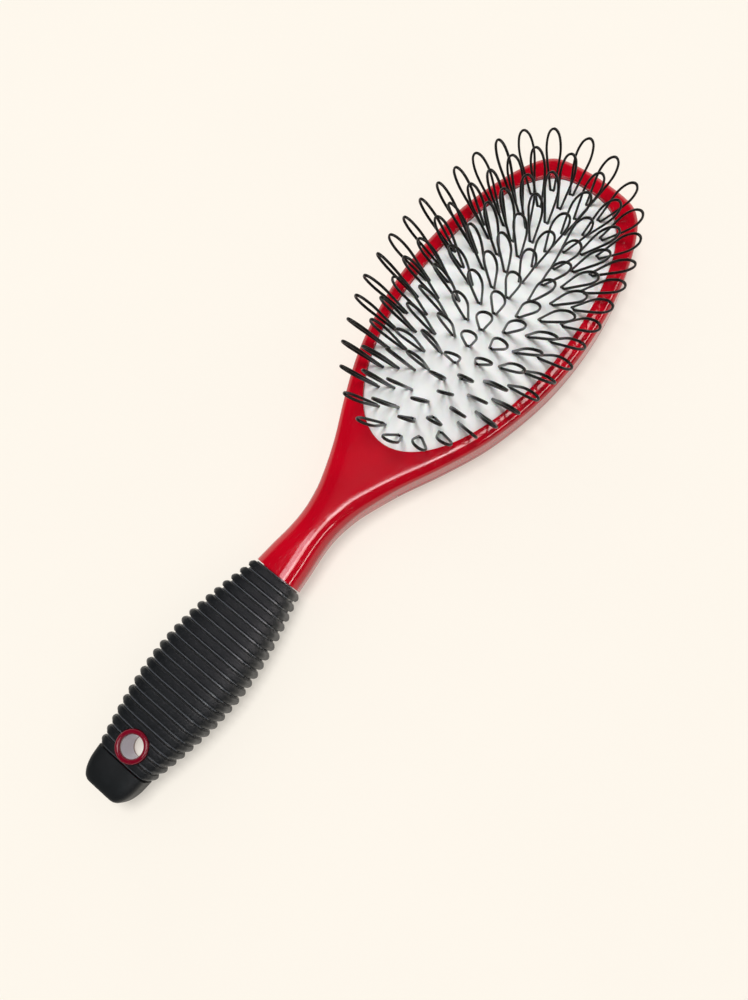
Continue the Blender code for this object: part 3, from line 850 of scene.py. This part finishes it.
@dataclass
class Shells:
    """Front frame with its neck and tang, and the back cover."""

    parting: float = 0.0040
    gap: float = 0.0003
    cover_end: float = 0.062
    plate_underside: float = 0.0110
    chamber_growth: float = 0.0016
    edge_steps: int = 16
    lip_radius: float = 0.00045
    lip_steps: int = 5
    window_steps: int = 176
    cover_floor: float = 0.0020
    cover_chamfer: float = 0.00015
    rib_top: float = 0.0084
    rib_growth: float = 0.0013
    pocket_growth: float = 0.0001
    sharp: float = 35.0
    overrun: float = 0.002

    def build(self, grip: "Grip") -> None:
        """Make and dress both shells."""
        hand_over(self.make_front(grip), Slot.RED_PLASTIC, Body.BRUSH, ["front_frame"])
        hand_over(self.make_cover(), Slot.RED_PLASTIC, Body.BRUSH, ["back_cover"])

    @staticmethod
    def stack(name: str, points: Sequence[Vector], levels: Sequence[Level]) -> bpy.types.Object:
        """Solid over the outline, through levels that each give an inset and a height.

        Args:
            name: Name of the new object.
            points: Right side of the outline.
            levels: Functions of the place along the brush.

        Returns:
            The new object.
        """
        normals = HEAD.inward(points)
        rows: list[Row] = []
        for level in levels:
            right: Row = []
            for point, normal in zip(points, normals):
                inset, height = level(point.y)
                right.append((*HEAD.fitted(point, normal, inset), height))
            rows.append(right + [(-x, y, z) for x, y, z in reversed(right[:-1])])
        vertices, faces = skin(rows)
        size = len(rows[0])
        tip = len(points) - 1
        for start in (0, len(vertices) - size):
            for step in range(tip):
                across = size - 1 - step
                corners = (step, step + 1, across - 1, across) if step + 1 < tip else (step, tip, across)
                faces.append(tuple(start + corner for corner in corners))
        return make_piece(name, vertices, faces)

    def window_cutter(self) -> bpy.types.Object:
        """Cutter for the window, flared at the top to round its edge."""
        profile: list[Pair] = [(0.0, self.plate_underside - self.overrun)]
        for step in range(self.lip_steps + 1):
            angle = math.pi / 2 * step / self.lip_steps
            growth = self.lip_radius * (1 - math.cos(angle))
            profile.append((growth, HEAD.thickness - self.lip_radius * (1 - math.sin(angle))))
        profile.append((self.lip_radius, HEAD.thickness + self.overrun))
        plans = [(WINDOW.plan(growth, self.window_steps), height) for growth, height in profile]
        return loft("window_cutter", [[(x, y, height) for x, y in plan] for plan, height in plans])

    def make_front(self, grip: "Grip") -> bpy.types.Object:
        """Head, neck and tang in one moulding, open behind and with the window in front."""
        steps = self.edge_steps
        levels = [HEAD.back_level(step / steps) for step in range(steps + 1)]
        levels += [HEAD.top_level(step / steps) for step in range(steps + 1)]
        front = self.stack("front_shell", HEAD.outline(), levels)
        carve(front, grip.make_tang(), "UNION")
        side = HEAD.half_width + self.overrun
        low = -(self.cover_end + self.gap)
        high = HEAD.tip + self.overrun
        plan = [(-side, low), (side, low), (side, high), (-side, high)]
        carve(front, prism("cover_room", plan, -self.overrun, self.parting + self.gap))
        plan = WINDOW.plan(self.chamber_growth, self.window_steps)
        carve(front, prism("chamber", plan, -self.overrun, self.plate_underside))
        carve(front, self.window_cutter())
        carve(front, grip.eyelet_cutter())
        smooth(front, self.sharp)
        return front

    def make_cover(self) -> bpy.types.Object:
        """Tray that closes the head from behind."""
        steps = self.edge_steps
        levels = [HEAD.back_level(step / steps) for step in range(steps + 1)]
        levels.append(lambda y: (0.0, self.parting - self.cover_chamfer))
        levels.append(lambda y: (self.cover_chamfer, self.parting))
        cover = self.stack("back_shell", HEAD.above(-self.cover_end), levels)
        plan = WINDOW.plan(self.rib_growth, self.window_steps)
        carve(cover, prism("clamp_rib", plan, self.cover_floor, self.rib_top), "UNION")
        plan = WINDOW.plan(self.pocket_growth, self.window_steps)
        carve(cover, prism("pocket", plan, self.cover_floor, self.rib_top + self.overrun))
        smooth(cover, self.sharp)
        return cover


# Cushion

@dataclass
class Cushion:
    """Domed rubber cushion that fills the window, with a dimple round each tuft."""

    edge_height: float = 0.0115
    rise: float = 0.0050
    fullness: float = 0.75
    edge_gap: float = 0.00012
    flange: float = 0.0013
    flange_top: float = 0.0107
    flange_bottom: float = 0.0087
    rings: int = 84
    sides: int = 420
    dimple_depth: float = 0.00022
    dimple_radius: float = 0.0011
    dimple_falloff: float = 1.6
    collar_height: float = 0.00010
    collar_radius: float = 0.0019
    collar_spread: float = 0.4
    bend_start: float = 0.0113
    bend_end: float = 0.0130
    crowding: float = 1.15
    sharp: float = 50.0

    def height(self, x: float, y: float) -> float:
        """Height of the crown at a place in plan."""
        reach = (x / WINDOW.half_width) ** 2 + ((y - WINDOW.centre) / WINDOW.half_length) ** 2
        return self.edge_height + self.rise * max(0.0, 1 - reach) ** self.fullness

    def relief(self, points: np.ndarray, tufts: np.ndarray) -> np.ndarray:
        """Height that the dimples and collars add at each point."""
        gaps = np.linalg.norm(points[:, None, :2] - tufts[None, :, :], axis=2)
        nearest = gaps.min(axis=1)
        dimple = -self.dimple_depth * np.exp(-(nearest / self.dimple_radius) ** 2 * self.dimple_falloff)
        beside = (nearest - self.collar_radius) / (self.collar_radius * self.collar_spread)
        collar = self.collar_height * np.exp(-(beside ** 2))
        return dimple + collar

    def build(self, tufts: Sequence[Pair]) -> None:
        """Make and dress the cushion.

        Args:
            tufts: Places of all the tufts in plan.
        """
        rows: list[Row] = []
        for ring in range(self.rings):
            share = 1 - (ring / self.rings) ** self.crowding
            rows.append([(x, y, self.height(x, y)) for x, y in self.oval(-self.edge_gap, share)])
        points = np.array([point for row in rows for point in row])
        points[:, 2] += self.relief(points, np.array(tufts))
        section = (
            (self.flange, self.flange_bottom),
            (self.flange, self.flange_top),
            (-self.edge_gap, self.flange_top),
        )
        under = [[(x, y, height) for x, y in self.oval(growth)] for growth, height in section]
        vertices, faces = skin([*under, *points.reshape(self.rings, self.sides, 3).tolist()])
        for start, height in (
            (0, self.flange_bottom),
            (len(vertices) - self.sides, self.height(0.0, WINDOW.centre)),
        ):
            middle = len(vertices)
            vertices.append((0.0, WINDOW.centre, height))
            faces += [(start + side, start + (side + 1) % self.sides, middle) for side in range(self.sides)]
        pad = make_piece("rubber_cushion", vertices, faces, self.sharp)
        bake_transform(pad)
        slices = [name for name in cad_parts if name.startswith("loop_ring_")]
        hand_over(pad, Slot.WHITE_RUBBER, None, ["cushion_rim", *sorted(slices)])

    def oval(self, growth: float, share: float = 1.0) -> list[Pair]:
        """Plan of the window, grown and then drawn in to a share of its size."""
        angles = [math.tau * side / self.sides for side in range(self.sides)]
        sizes = ((WINDOW.half_width + growth) * share, (WINDOW.half_length + growth) * share)
        return [WINDOW.point(angle, *sizes) for angle in angles]


# Loops

@dataclass
class Loop:
    """One nylon loop: its foot, the way that it stands and the turn of its plane."""

    foot: Vector
    upward: Vector
    across: Vector
    growth: float
    skew: float
    bend: float


@dataclass
class LoopField:
    """Four rings of looped tufts that stand on the cushion."""

    cushion: Cushion
    inset: float = 0.0045
    centre_half_width: float = 0.0028
    centre_half_length: float = 0.0275
    centre_squareness: float = 0.45
    pitch: float = 0.0061
    length: float = 0.0188
    width: float = 0.0053
    radius: float = 0.00038
    side_splay: float = math.radians(40)
    end_splay: float = math.radians(22)
    twist: float = math.radians(20)
    rings: int = 4
    samples: int = 360
    sides: int = 8
    steps: int = 5
    flatness: float = 1.25
    nub_size: Place = (0.00085, 0.00042, 0.00028)
    nub_levels: int = 6
    nub_sides: int = 12
    turn_share: float = 0.60
    left_turn: float = math.radians(9)
    right_turn: float = math.radians(2)
    middle_turn: float = math.radians(12)
    left_growth: float = 0.0016
    tip_growth: float = 0.0013
    low_growth: float = 0.0024
    tip_splay: float = math.radians(25)
    turn_seed: int = 7
    hand_seed: int = 11
    skew: float = 0.0003
    bend: float = 0.0004
    sharp: float = 60.0
    shares: tuple[Pair, ...] = (
        (0.21, -0.05),
        (0.25, 0.0),
        (0.46, 0.17),
        (0.70, 0.36),
        (0.90, 0.53),
        (1.0, 0.67),
        (0.94, 0.80),
        (0.72, 0.915),
        (0.38, 0.978),
    )
    loops: list[list[Loop]] = field(default_factory=list)

    def ring_shape(self, ring: int) -> tuple[float, float, float]:
        """Half width, half length and roundness of a ring, counted from 0 at the edge."""
        share = ring / (self.rings - 1)
        outer_width = WINDOW.half_width - self.inset
        outer_length = WINDOW.half_length - self.inset
        half_width = outer_width + (self.centre_half_width - outer_width) * share
        half_length = outer_length + (self.centre_half_length - outer_length) * share
        return half_width, half_length, 1 + (self.centre_squareness - 1) * share

    def angles(self, shape: tuple[float, float, float]) -> list[float]:
        """Angles of the tufts along a ring, evenly spaced."""
        lengths = [0.0]
        angles = [-math.pi / 2 + math.tau * step / self.samples for step in range(self.samples + 1)]
        places = [Vector(WINDOW.point(angle, *shape)) for angle in angles]
        for before, after in zip(places, places[1:]):
            lengths.append(lengths[-1] + (after - before).length)
        count = 2 * round(lengths[-1] / self.pitch / 2)
        marks = []
        sample = 0
        for mark in range(2 * count + 1):
            wanted = lengths[-1] * mark / (2 * count)
            while sample < self.samples - 1 and lengths[sample + 1] < wanted:
                sample += 1
            share = (wanted - lengths[sample]) / (lengths[sample + 1] - lengths[sample])
            marks.append(angles[sample] + share * (angles[sample + 1] - angles[sample]))
        return marks[1::2]

    def plant(self) -> list[Pair]:
        """Settle where each loop stands.

        Returns:
            Places of all the tufts in plan.
        """
        dice = random.Random(self.turn_seed)
        hand = random.Random(self.hand_seed)
        outer = self.ring_shape(0)
        tufts: list[Pair] = []
        for ring in range(self.rings):
            shape = self.ring_shape(ring)
            row = []
            for angle in self.angles(shape):
                x, y = WINDOW.point(angle, *shape)
                x = math.copysign(max(abs(x), self.centre_half_width), x)
                tufts.append((x, y))
                along = (y - WINDOW.centre) / outer[1]
                lean_x = math.tan(self.side_splay) * x / outer[0]
                lean_y = math.tan(self.tip_splay if along > 0 else self.end_splay) * along
                upward = Vector((lean_x, lean_y, 1)).normalized()
                extra = self.tip_growth * max(0.0, along) + self.low_growth * min(0.0, along)
                growth = 1 + (extra - self.left_growth * x / outer[0]) / self.length
                middle = 1 - (x / outer[0]) ** 2
                edge_turn = self.left_turn if x < 0 else self.right_turn
                turn = edge_turn + (self.middle_turn - edge_turn) * middle
                turn += self.turn_share * dice.uniform(-self.twist, self.twist)
                across = Vector((math.cos(turn), math.sin(turn), 0))
                across = (across - upward * across.dot(upward)).normalized()
                foot = Vector((x, y, self.cushion.height(x, y)))
                unevenness = (hand.gauss(0, self.skew), hand.gauss(0, self.bend))
                row.append(Loop(foot, upward, across, growth, *unevenness))
            self.loops.append(row)
        return tufts

    def path(self, loop: Loop) -> list[Vector]:
        """Centre line of one loop."""
        half = self.width / 2 - self.radius
        side = [Vector((width * half, length * self.length)) for width, length in self.shares]
        top = Vector((0.0, self.length))
        knots = [Vector((-knot.x, knot.y)) for knot in side] + [top] + side[::-1]
        square = loop.upward.cross(loop.across)
        points = []
        for flat in smooth_curve(knots, self.steps):
            share = max(0.0, flat.y / self.length)
            sideways = flat.x + loop.skew * share ** 2
            rise = loop.upward * flat.y * loop.growth
            bow = square * (loop.bend * share ** 2)
            points.append(loop.foot + loop.across * sideways + rise + bow)
        return points

    def strand(self, loop: Loop) -> Mesh:
        """Round strand along a loop's centre line."""
        path = self.path(loop)
        square = loop.upward.cross(loop.across)
        rows = []
        for index, point in enumerate(path):
            before = path[max(index - 1, 0)]
            after = path[min(index + 1, len(path) - 1)]
            side = (after - before).normalized().cross(square).normalized()
            row = []
            for corner in range(self.sides):
                angle = math.tau * corner / self.sides
                outward = square * math.cos(angle) * self.flatness + side * math.sin(angle)
                row.append(point + outward * self.radius)
            rows.append(row)
        return capped(rows)

    def nub(self, loop: Loop) -> Mesh:
        """Rounded nub where a tuft leaves the cushion."""
        square = loop.upward.cross(loop.across)
        long, wide, high = self.nub_size
        rows = []
        for level in range(self.nub_levels):
            angle = math.pi * (level + 0.5) / self.nub_levels
            centre = loop.foot + loop.upward * (high * math.cos(angle))
            row = []
            for side in range(self.nub_sides):
                turn = math.tau * side / self.nub_sides
                outward = loop.across * (math.cos(turn) * long) + square * (math.sin(turn) * wide)
                row.append(centre + outward * math.sin(angle))
            rows.append(row)
        return capped(rows)

    def build(self) -> None:
        """Make and dress one piece for each ring of loops."""
        for ring, row in enumerate(self.loops):
            vertices: list[Vector] = []
            faces: list[tuple[int, ...]] = []
            for loop in row:
                for points, sides in (self.strand(loop), self.nub(loop)):
                    faces += [tuple(len(vertices) + corner for corner in side) for side in sides]
                    vertices += points
            piece = make_piece(f"loop_ring_{ring + 1}", vertices, faces, self.sharp)
            hand_over(piece, Slot.BLACK_NYLON, Body.CROWN)


# Handle

@dataclass
class Grip:
    """Ribbed sleeve on the tang, and the tang itself."""

    start: float = 0.1038
    length: float = 0.0693
    front: Pair = (0.0083, 0.0066)
    middle: Pair = (0.0143, 0.0078)
    rear: Pair = (0.0095, 0.0057)
    widest: float = 0.52
    squareness: float = 0.46
    ribs: int = 22
    rib_depth: float = 0.0012
    rib_shares: tuple[Pair, ...] = (
        (0.0, 1.0),
        (0.060, 1.0),
        (0.112, 1.0),
        (0.124, 0.93),
        (0.131, 0.45),
        (0.142, 0.16),
        (0.162, 0.03),
        (0.195, 0.0),
        (0.350, 0.0),
        (0.500, 0.0),
    )
    bead_depth: float = 0.0021
    bead_start: float = 0.84
    bead_full: float = 0.95
    build_up: float = 0.0027
    gap: float = 0.0003
    tang_root: float = 0.0030
    stub: Pair = (0.0050, 0.0024)
    stub_end: float = 0.1789
    stub_squareness: float = 0.5
    cut_low: float = -0.002
    cut_high: float = 0.020
    sharp: float = 75.0
    tang_steps: int = 24
    bore_steps: int = 30
    cut_sides: int = 72
    sides: int = 112
    tang_sides: int = 40
    tube_radius: float = 0.0042
    ring_radius: float = 0.0051
    eyelet_y: float = -0.1675
    seat_depth: float = 0.0009

    def half_sizes(self, share: float, inset: float) -> Pair:
        """Half width and half height at a share of the length, less an inset."""
        if share < self.widest:
            swell = math.sin(math.pi / 2 * share / self.widest)
            base = self.front
        else:
            swell = math.cos(math.pi / 2 * (share - self.widest) / (1 - self.widest))
            base = self.rear
        half_width = base[0] + (self.middle[0] - base[0]) * swell - inset
        half_height = base[1] + (self.middle[1] - base[1]) * swell - inset
        return half_width, half_height

    @staticmethod
    def section(half_width: float, half_height: float, y: float, squareness: float, sides: int) -> Row:
        """Row of points round the grip's axis, from an ellipse at 1 to a square at 0."""
        row: Row = []
        for side in range(sides):
            angle = math.tau * (side + 0.5) / sides
            x = half_width * signed_power(math.cos(angle), squareness)
            z = HEAD.grip_axis + half_height * signed_power(math.sin(angle), squareness)
            row.append((x, y, z))
        return row

    def seat(self) -> float:
        """Height of the eyelet's seat from the grip's axis."""
        share = (-self.eyelet_y - self.start) / self.length
        return self.half_sizes(share, self.seat_depth)[1]

    def cylinder(self, name: str, radius: float, low: float, high: float) -> bpy.types.Object:
        """Cutter that stands on the eyelet's axis."""
        return prism(name, round_plan(radius, self.cut_sides, self.eyelet_y), low, high)

    def eyelet_cutter(self) -> bpy.types.Object:
        """Cutter for the hole that the eyelet's tube passes through."""
        return self.cylinder("eyelet_hole", self.tube_radius + self.gap, self.cut_low, self.cut_high)

    def row(self, share: float, inset: float, sides: int) -> Row:
        """Section of the grip at a share of its length, less an inset."""
        y = -(self.start + share * self.length)
        return self.section(*self.half_sizes(share, inset), y, self.squareness, sides)

    def make_tang(self) -> bpy.types.Object:
        """Core of the handle, which ends in a stub for the cap."""
        inset = self.build_up + self.gap
        root = -(self.start - self.tang_root)
        rows = [self.section(*self.half_sizes(0, inset), root, self.squareness, self.tang_sides)]
        shares = [step / self.tang_steps for step in range(self.tang_steps + 1)]
        rows += [self.row(share, inset, self.tang_sides) for share in shares]
        for y in (-(self.start + self.length), -self.stub_end):
            rows.append(self.section(*self.stub, y, self.stub_squareness, self.tang_sides))
        return loft("tang", rows)

    def rib_row(self, share: float, along: float, depth: float) -> Row:
        """Row of points on a rib, which is flat across the top and a round bead at the sides.

        Args:
            share: Place on the grip as a share of its length.
            along: Place on the rib, from 0 at one groove to 1 at the next.
            depth: Depth below the crest as a share of the rib's depth.

        Returns:
            The row of points.
        """
        bead = 1 - math.sqrt(1 - (2 * along - 1) ** 2)
        flat = self.row(share, depth * self.rib_depth, self.sides)
        deep = self.row(share, bead * self.bead_depth, self.sides)
        widest = self.half_sizes(share, 0.0)[0]
        row: Row = []
        for point, sunk in zip(flat, deep):
            reach = abs(point[0]) / widest - self.bead_start
            side = smooth_step(reach / (self.bead_full - self.bead_start))
            row.append(tuple(Vector(point).lerp(Vector(sunk), side)))
        return row

    def build(self) -> None:
        """Make and dress the sleeve."""
        rows: list[Row] = []
        profile = [*self.rib_shares, *((1 - along, depth) for along, depth in self.rib_shares[-2:0:-1])]
        for rib in range(self.ribs + 1):
            for along, depth in profile if rib < self.ribs else profile[:1]:
                rows.append(self.rib_row((rib + along) / self.ribs, along, depth))
        for step in range(self.bore_steps, -1, -1):
            rows.append(self.row(step / self.bore_steps, self.build_up, self.sides))
        sleeve = make_piece("grip_sleeve_ribs", *skin(rows, wrap=True), self.sharp)
        carve(sleeve, self.eyelet_cutter())
        radius = self.ring_radius + self.gap * 0.5
        seat = self.seat()
        carve(sleeve, self.cylinder("front_seat", radius, HEAD.grip_axis + seat, self.cut_high))
        carve(sleeve, self.cylinder("back_seat", radius, self.cut_low, HEAD.grip_axis - seat))
        smooth(sleeve, self.sharp)
        hand_over(sleeve, Slot.GRIP_RUBBER, Body.BRUSH, ["grip_sleeve"])


@dataclass
class EndCap:
    """Tapered cap over the stub of the tang."""

    start: float = 0.1734
    length: float = 0.0098
    wide: Pair = (0.0089, 0.0055)
    narrow: Pair = (0.0056, 0.0040)
    squareness: float = 0.34
    floor: float = 0.0040
    socket: Pair = (0.0053, 0.0027)
    end_radius: float = 0.0010
    end_bulge: float = 0.00015
    end_pull: float = 1.6
    end_steps: int = 5
    curve_steps: int = 6
    sharp: float = 45.0
    shares: tuple[Pair, ...] = ((0.0, 0.0), (0.42, 0.10), (0.72, 0.34), (0.92, 0.68), (1.0, 1.0))
    sides: int = 96

    def build(self) -> None:
        """Make and dress the cap."""
        rows: list[Row] = []
        for step in range(self.end_steps, 0, -1):
            angle = math.pi / 2 * step / self.end_steps
            inset = self.end_radius * (1 - math.cos(angle)) * self.end_pull
            y = -(self.start + self.length + self.end_bulge * math.sin(angle))
            half_width, half_height = (size - inset for size in self.narrow)
            rows.append(Grip.section(half_width, half_height, y, self.squareness, self.sides))
        for place in reversed(smooth_curve([Vector(share) for share in self.shares], self.curve_steps)):
            sizes = (wide + (narrow - wide) * place.y for wide, narrow in zip(self.wide, self.narrow))
            y = -(self.start + max(0.0, place.x) * self.length)
            rows.append(Grip.section(*sizes, y, self.squareness, self.sides))
        for y in (-self.start, -(self.start + self.length - self.floor)):
            rows.append(Grip.section(*self.socket, y, self.squareness, self.sides))
        cap = loft("handle_end_cap", rows, self.sharp)
        hand_over(cap, Slot.CAP_PLASTIC, Body.BRUSH, ["end_cap"])


@dataclass
class Eyelet:
    """Hanging eyelet: a tube through the grip and a turned ring over each end."""

    grip: Grip
    bore: float = 0.0035
    tube: float = 0.0042
    ring: float = 0.0051
    ring_height: float = 0.0015
    shoulder_share: float = 0.35
    squareness: float = 0.85
    arch_power: float = 0.9
    arch_steps: int = 14
    gap: float = 0.0003
    sides: int = 96

    def turn(self, name: str, section: Sequence[Pair], slot: Slot, node: str) -> None:
        """Turn a closed section about the eyelet's axis, and dress it."""
        rows = [
            [(x, y, height) for x, y in round_plan(radius, self.sides, self.grip.eyelet_y)]
            for radius, height in section
        ]
        hand_over(make_piece(name, *skin(rows, wrap=True)), slot, Body.BRUSH, [node])

    def ring_section(self, foot: float, facing: int) -> list[Pair]:
        """Rounded section of a ring that stands on a foot and faces up or down."""
        middle = (self.bore + self.ring) / 2
        half = (self.ring - self.bore) / 2
        shoulder = self.ring_height * self.shoulder_share
        section = [(self.bore, foot), (self.ring, foot)]
        for step in range(self.arch_steps + 1):
            angle = math.pi * step / self.arch_steps
            height = shoulder + (self.ring_height - shoulder) * math.sin(angle) ** self.arch_power
            radius = middle + half * signed_power(math.cos(angle), self.squareness)
            section.append((radius, foot + facing * height))
        return section

    def build(self) -> None:
        """Make and dress the tube and both rings."""
        seat = self.grip.seat()
        axis = HEAD.grip_axis
        low, high = axis - seat, axis + seat
        tube = [(self.bore, low), (self.tube, low), (self.tube, high), (self.bore, high)]
        self.turn("eyelet_liner", tube, Slot.TUBE_PLASTIC, "eyelet_tube")
        for name, facing in (("front", 1), ("back", -1)):
            foot = axis + facing * (seat + self.gap)
            section = self.ring_section(foot, facing)
            self.turn(f"eyelet_trim_{name}", section, Slot.RING_PLASTIC, f"eyelet_ring_{name}")


# Studio

def looking(place: Place, back: Vector, hint: Vector) -> Matrix:
    """Place and turn of a lamp or camera with its back one way and its long side near another."""
    side = hint.cross(back).normalized()
    turned = Matrix((side, back.cross(side), back)).transposed()
    return Matrix.Translation(place) @ turned.to_4x4()


@dataclass(frozen=True)
class SoftBox:
    """A rectangular lamp that looks at one place."""

    name: str
    place: Place
    aim: Place
    size: Pair
    radiance: float
    colour: Colour = (1.0, 1.0, 1.0)
    in_gloss: bool = True
    on_matter: bool = True

    def hang(self) -> None:
        """Put the lamp into the scene, its long side along the brush."""
        light = bpy.data.lights.new(self.name, "AREA")
        light.shape = "RECTANGLE"
        light.size, light.size_y = self.size
        light.energy = math.pi * self.size[0] * self.size[1] * self.radiance
        light.color = self.colour
        lamp = place_object(self.name, light)
        back = (Vector(self.place) - Vector(self.aim)).normalized()
        lamp.matrix_world = looking(self.place, back, Vector((0, 1, 0)))
        lamp.visible_glossy = self.in_gloss
        lamp.visible_diffuse = self.on_matter


@dataclass
class Studio:
    """Table, lamps, surroundings and camera."""

    table_colour: Colour = (0.918, 0.876, 0.802)
    table_seen: Colour = (0.990, 0.930, 0.840)
    table_paleness: float = 0.50
    table_radius: float = 3.0
    table_top: float = -0.0001
    table_sides: int = 96
    table_cloud: float = 0.09
    table_darker: float = 0.985
    table_patch: float = 0.0012
    table_grain: float = 0.0006
    table_depth: float = 0.00001
    room_colour: Colour = (1.0, 0.985, 0.95)
    room_level: float = 0.36
    backdrop: Colour = (0.96, 0.93, 0.88)
    ceiling: Colour = (0.012, 0.012, 0.014)
    ceiling_rise: Pair = (0.12, 0.42)
    boxes: tuple[SoftBox, ...] = (
        SoftBox("soft_key", (-0.42, 0.26, 3.70), (0, 0, 0), (1.30, 1.30), 20.4, (1, 0.995, 0.985), False),
        SoftBox("strip", (0.25, 0.19, 1), (0, 0, 0), (0.22, 0.56), 7.5, (1, 0.9, 0.86), True, False),
        SoftBox("neck_glow", (0.05, -0.08, 1), (0, -0.1, 0), (0.44, 0.12), 6, (1, 0.88, 0.95), True, False),
        SoftBox("grip_strip", (0.13, -0.27, 1), (0, -0.14, 0), (0.3, 0.24), 4.5, (0.95, 1, 1), True, False),
        SoftBox("side_strip", (0.78, 0.3, 0.7), (0, 0, 0), (0.09, 0.9), 10, (1, 0.92, 0.88), True, False),
    )
    eye: Place = (0.07901, -0.10141, 0.3112)
    gaze: Place = (-0.2261, 0.1069, -0.9682)
    upward: Place = (-0.5944, 0.7723, 0.2241)
    lens: float = 37.52
    sensor: float = 36.0
    nearest: float = 0.01

    def build(self) -> None:
        """Set up everything round the brush."""
        self.lay_table()
        for box in self.boxes:
            box.hang()
        self.light_room()
        self.place_camera()
        bpy.context.scene.view_settings.view_transform = "Standard"

    def lay_table(self) -> None:
        """Pale table top under the brush."""
        rim = [(x, y, self.table_top) for x, y in round_plan(self.table_radius, self.table_sides)]
        mesh = bpy.data.meshes.new("table")
        mesh.from_pydata(rim, [], [tuple(range(self.table_sides))])
        made, graph = start_material("table_finish")
        cloud = graph.noise(self.table_cloud, 3.0).step_between(0.3, 0.7)
        darker = tuple(part * self.table_darker for part in self.table_colour)
        grain = graph.noise(self.table_grain, 3.0)
        inputs = {
            "Base Color": graph.blend(cloud, self.table_colour, darker),
            "Roughness": 0.62 + graph.noise(self.table_patch, 3.0) * 0.12,
            "Specular IOR Level": 0.25,
            "Normal": graph.bump(grain, self.table_depth, None, 0.4),
        }
        shader = graph.add("ShaderNodeBsdfPrincipled", None, inputs)
        pale = graph.add("ShaderNodeEmission", None, {"Color": (*self.table_seen, 1.0), "Strength": 1.0})
        factor = graph.seen_directly() * self.table_paleness
        graph.show(graph.add("ShaderNodeMixShader", None, {0: factor, 1: shader, 2: pale}))
        mesh.materials.append(made)
        place_object("table", mesh)

    def light_room(self) -> None:
        """Dim even light from all round, behind a pale backdrop with a dark ceiling."""
        world = bpy.data.worlds.new("room")
        bpy.context.scene.world = world
        world.use_nodes = True
        graph = Graph(world.node_tree)
        direction = graph.add("ShaderNodeTexCoord", output="Generated")
        rise = graph.add("ShaderNodeSeparateXYZ", None, {0: direction}, 2)
        seen = graph.blend(rise.step_between(*self.ceiling_rise), self.backdrop, self.ceiling)
        dim_inputs = {"Color": (*self.room_colour, 1.0), "Strength": self.room_level}
        dim = graph.add("ShaderNodeBackground", None, dim_inputs)
        pale = graph.add("ShaderNodeBackground", None, {"Color": seen, "Strength": 1.0})
        both = graph.add("ShaderNodeMixShader", None, {0: graph.seen_directly(), 1: dim, 2: pale})
        graph.show(both, "ShaderNodeOutputWorld")

    def place_camera(self) -> None:
        """Camera at the photograph's angle."""
        lens = bpy.data.cameras.new("camera")
        lens.lens = self.lens
        lens.sensor_width = self.sensor
        lens.clip_start = self.nearest
        camera = place_object("camera", lens)
        camera.matrix_world = looking(self.eye, -Vector(self.gaze).normalized(), Vector(self.upward))
        bpy.context.scene.camera = camera


def main() -> None:
    """Build the brush and the studio round it."""
    logging.basicConfig(level=logging.INFO, format="%(message)s")
    grip = Grip()
    Shells().build(grip)
    cushion = Cushion()
    loops = LoopField(cushion)
    cushion.build(loops.plant())
    loops.build()
    grip.build()
    EndCap().build()
    Eyelet(grip).build()
    Studio().build()


if __name__ == "__main__":
    main()
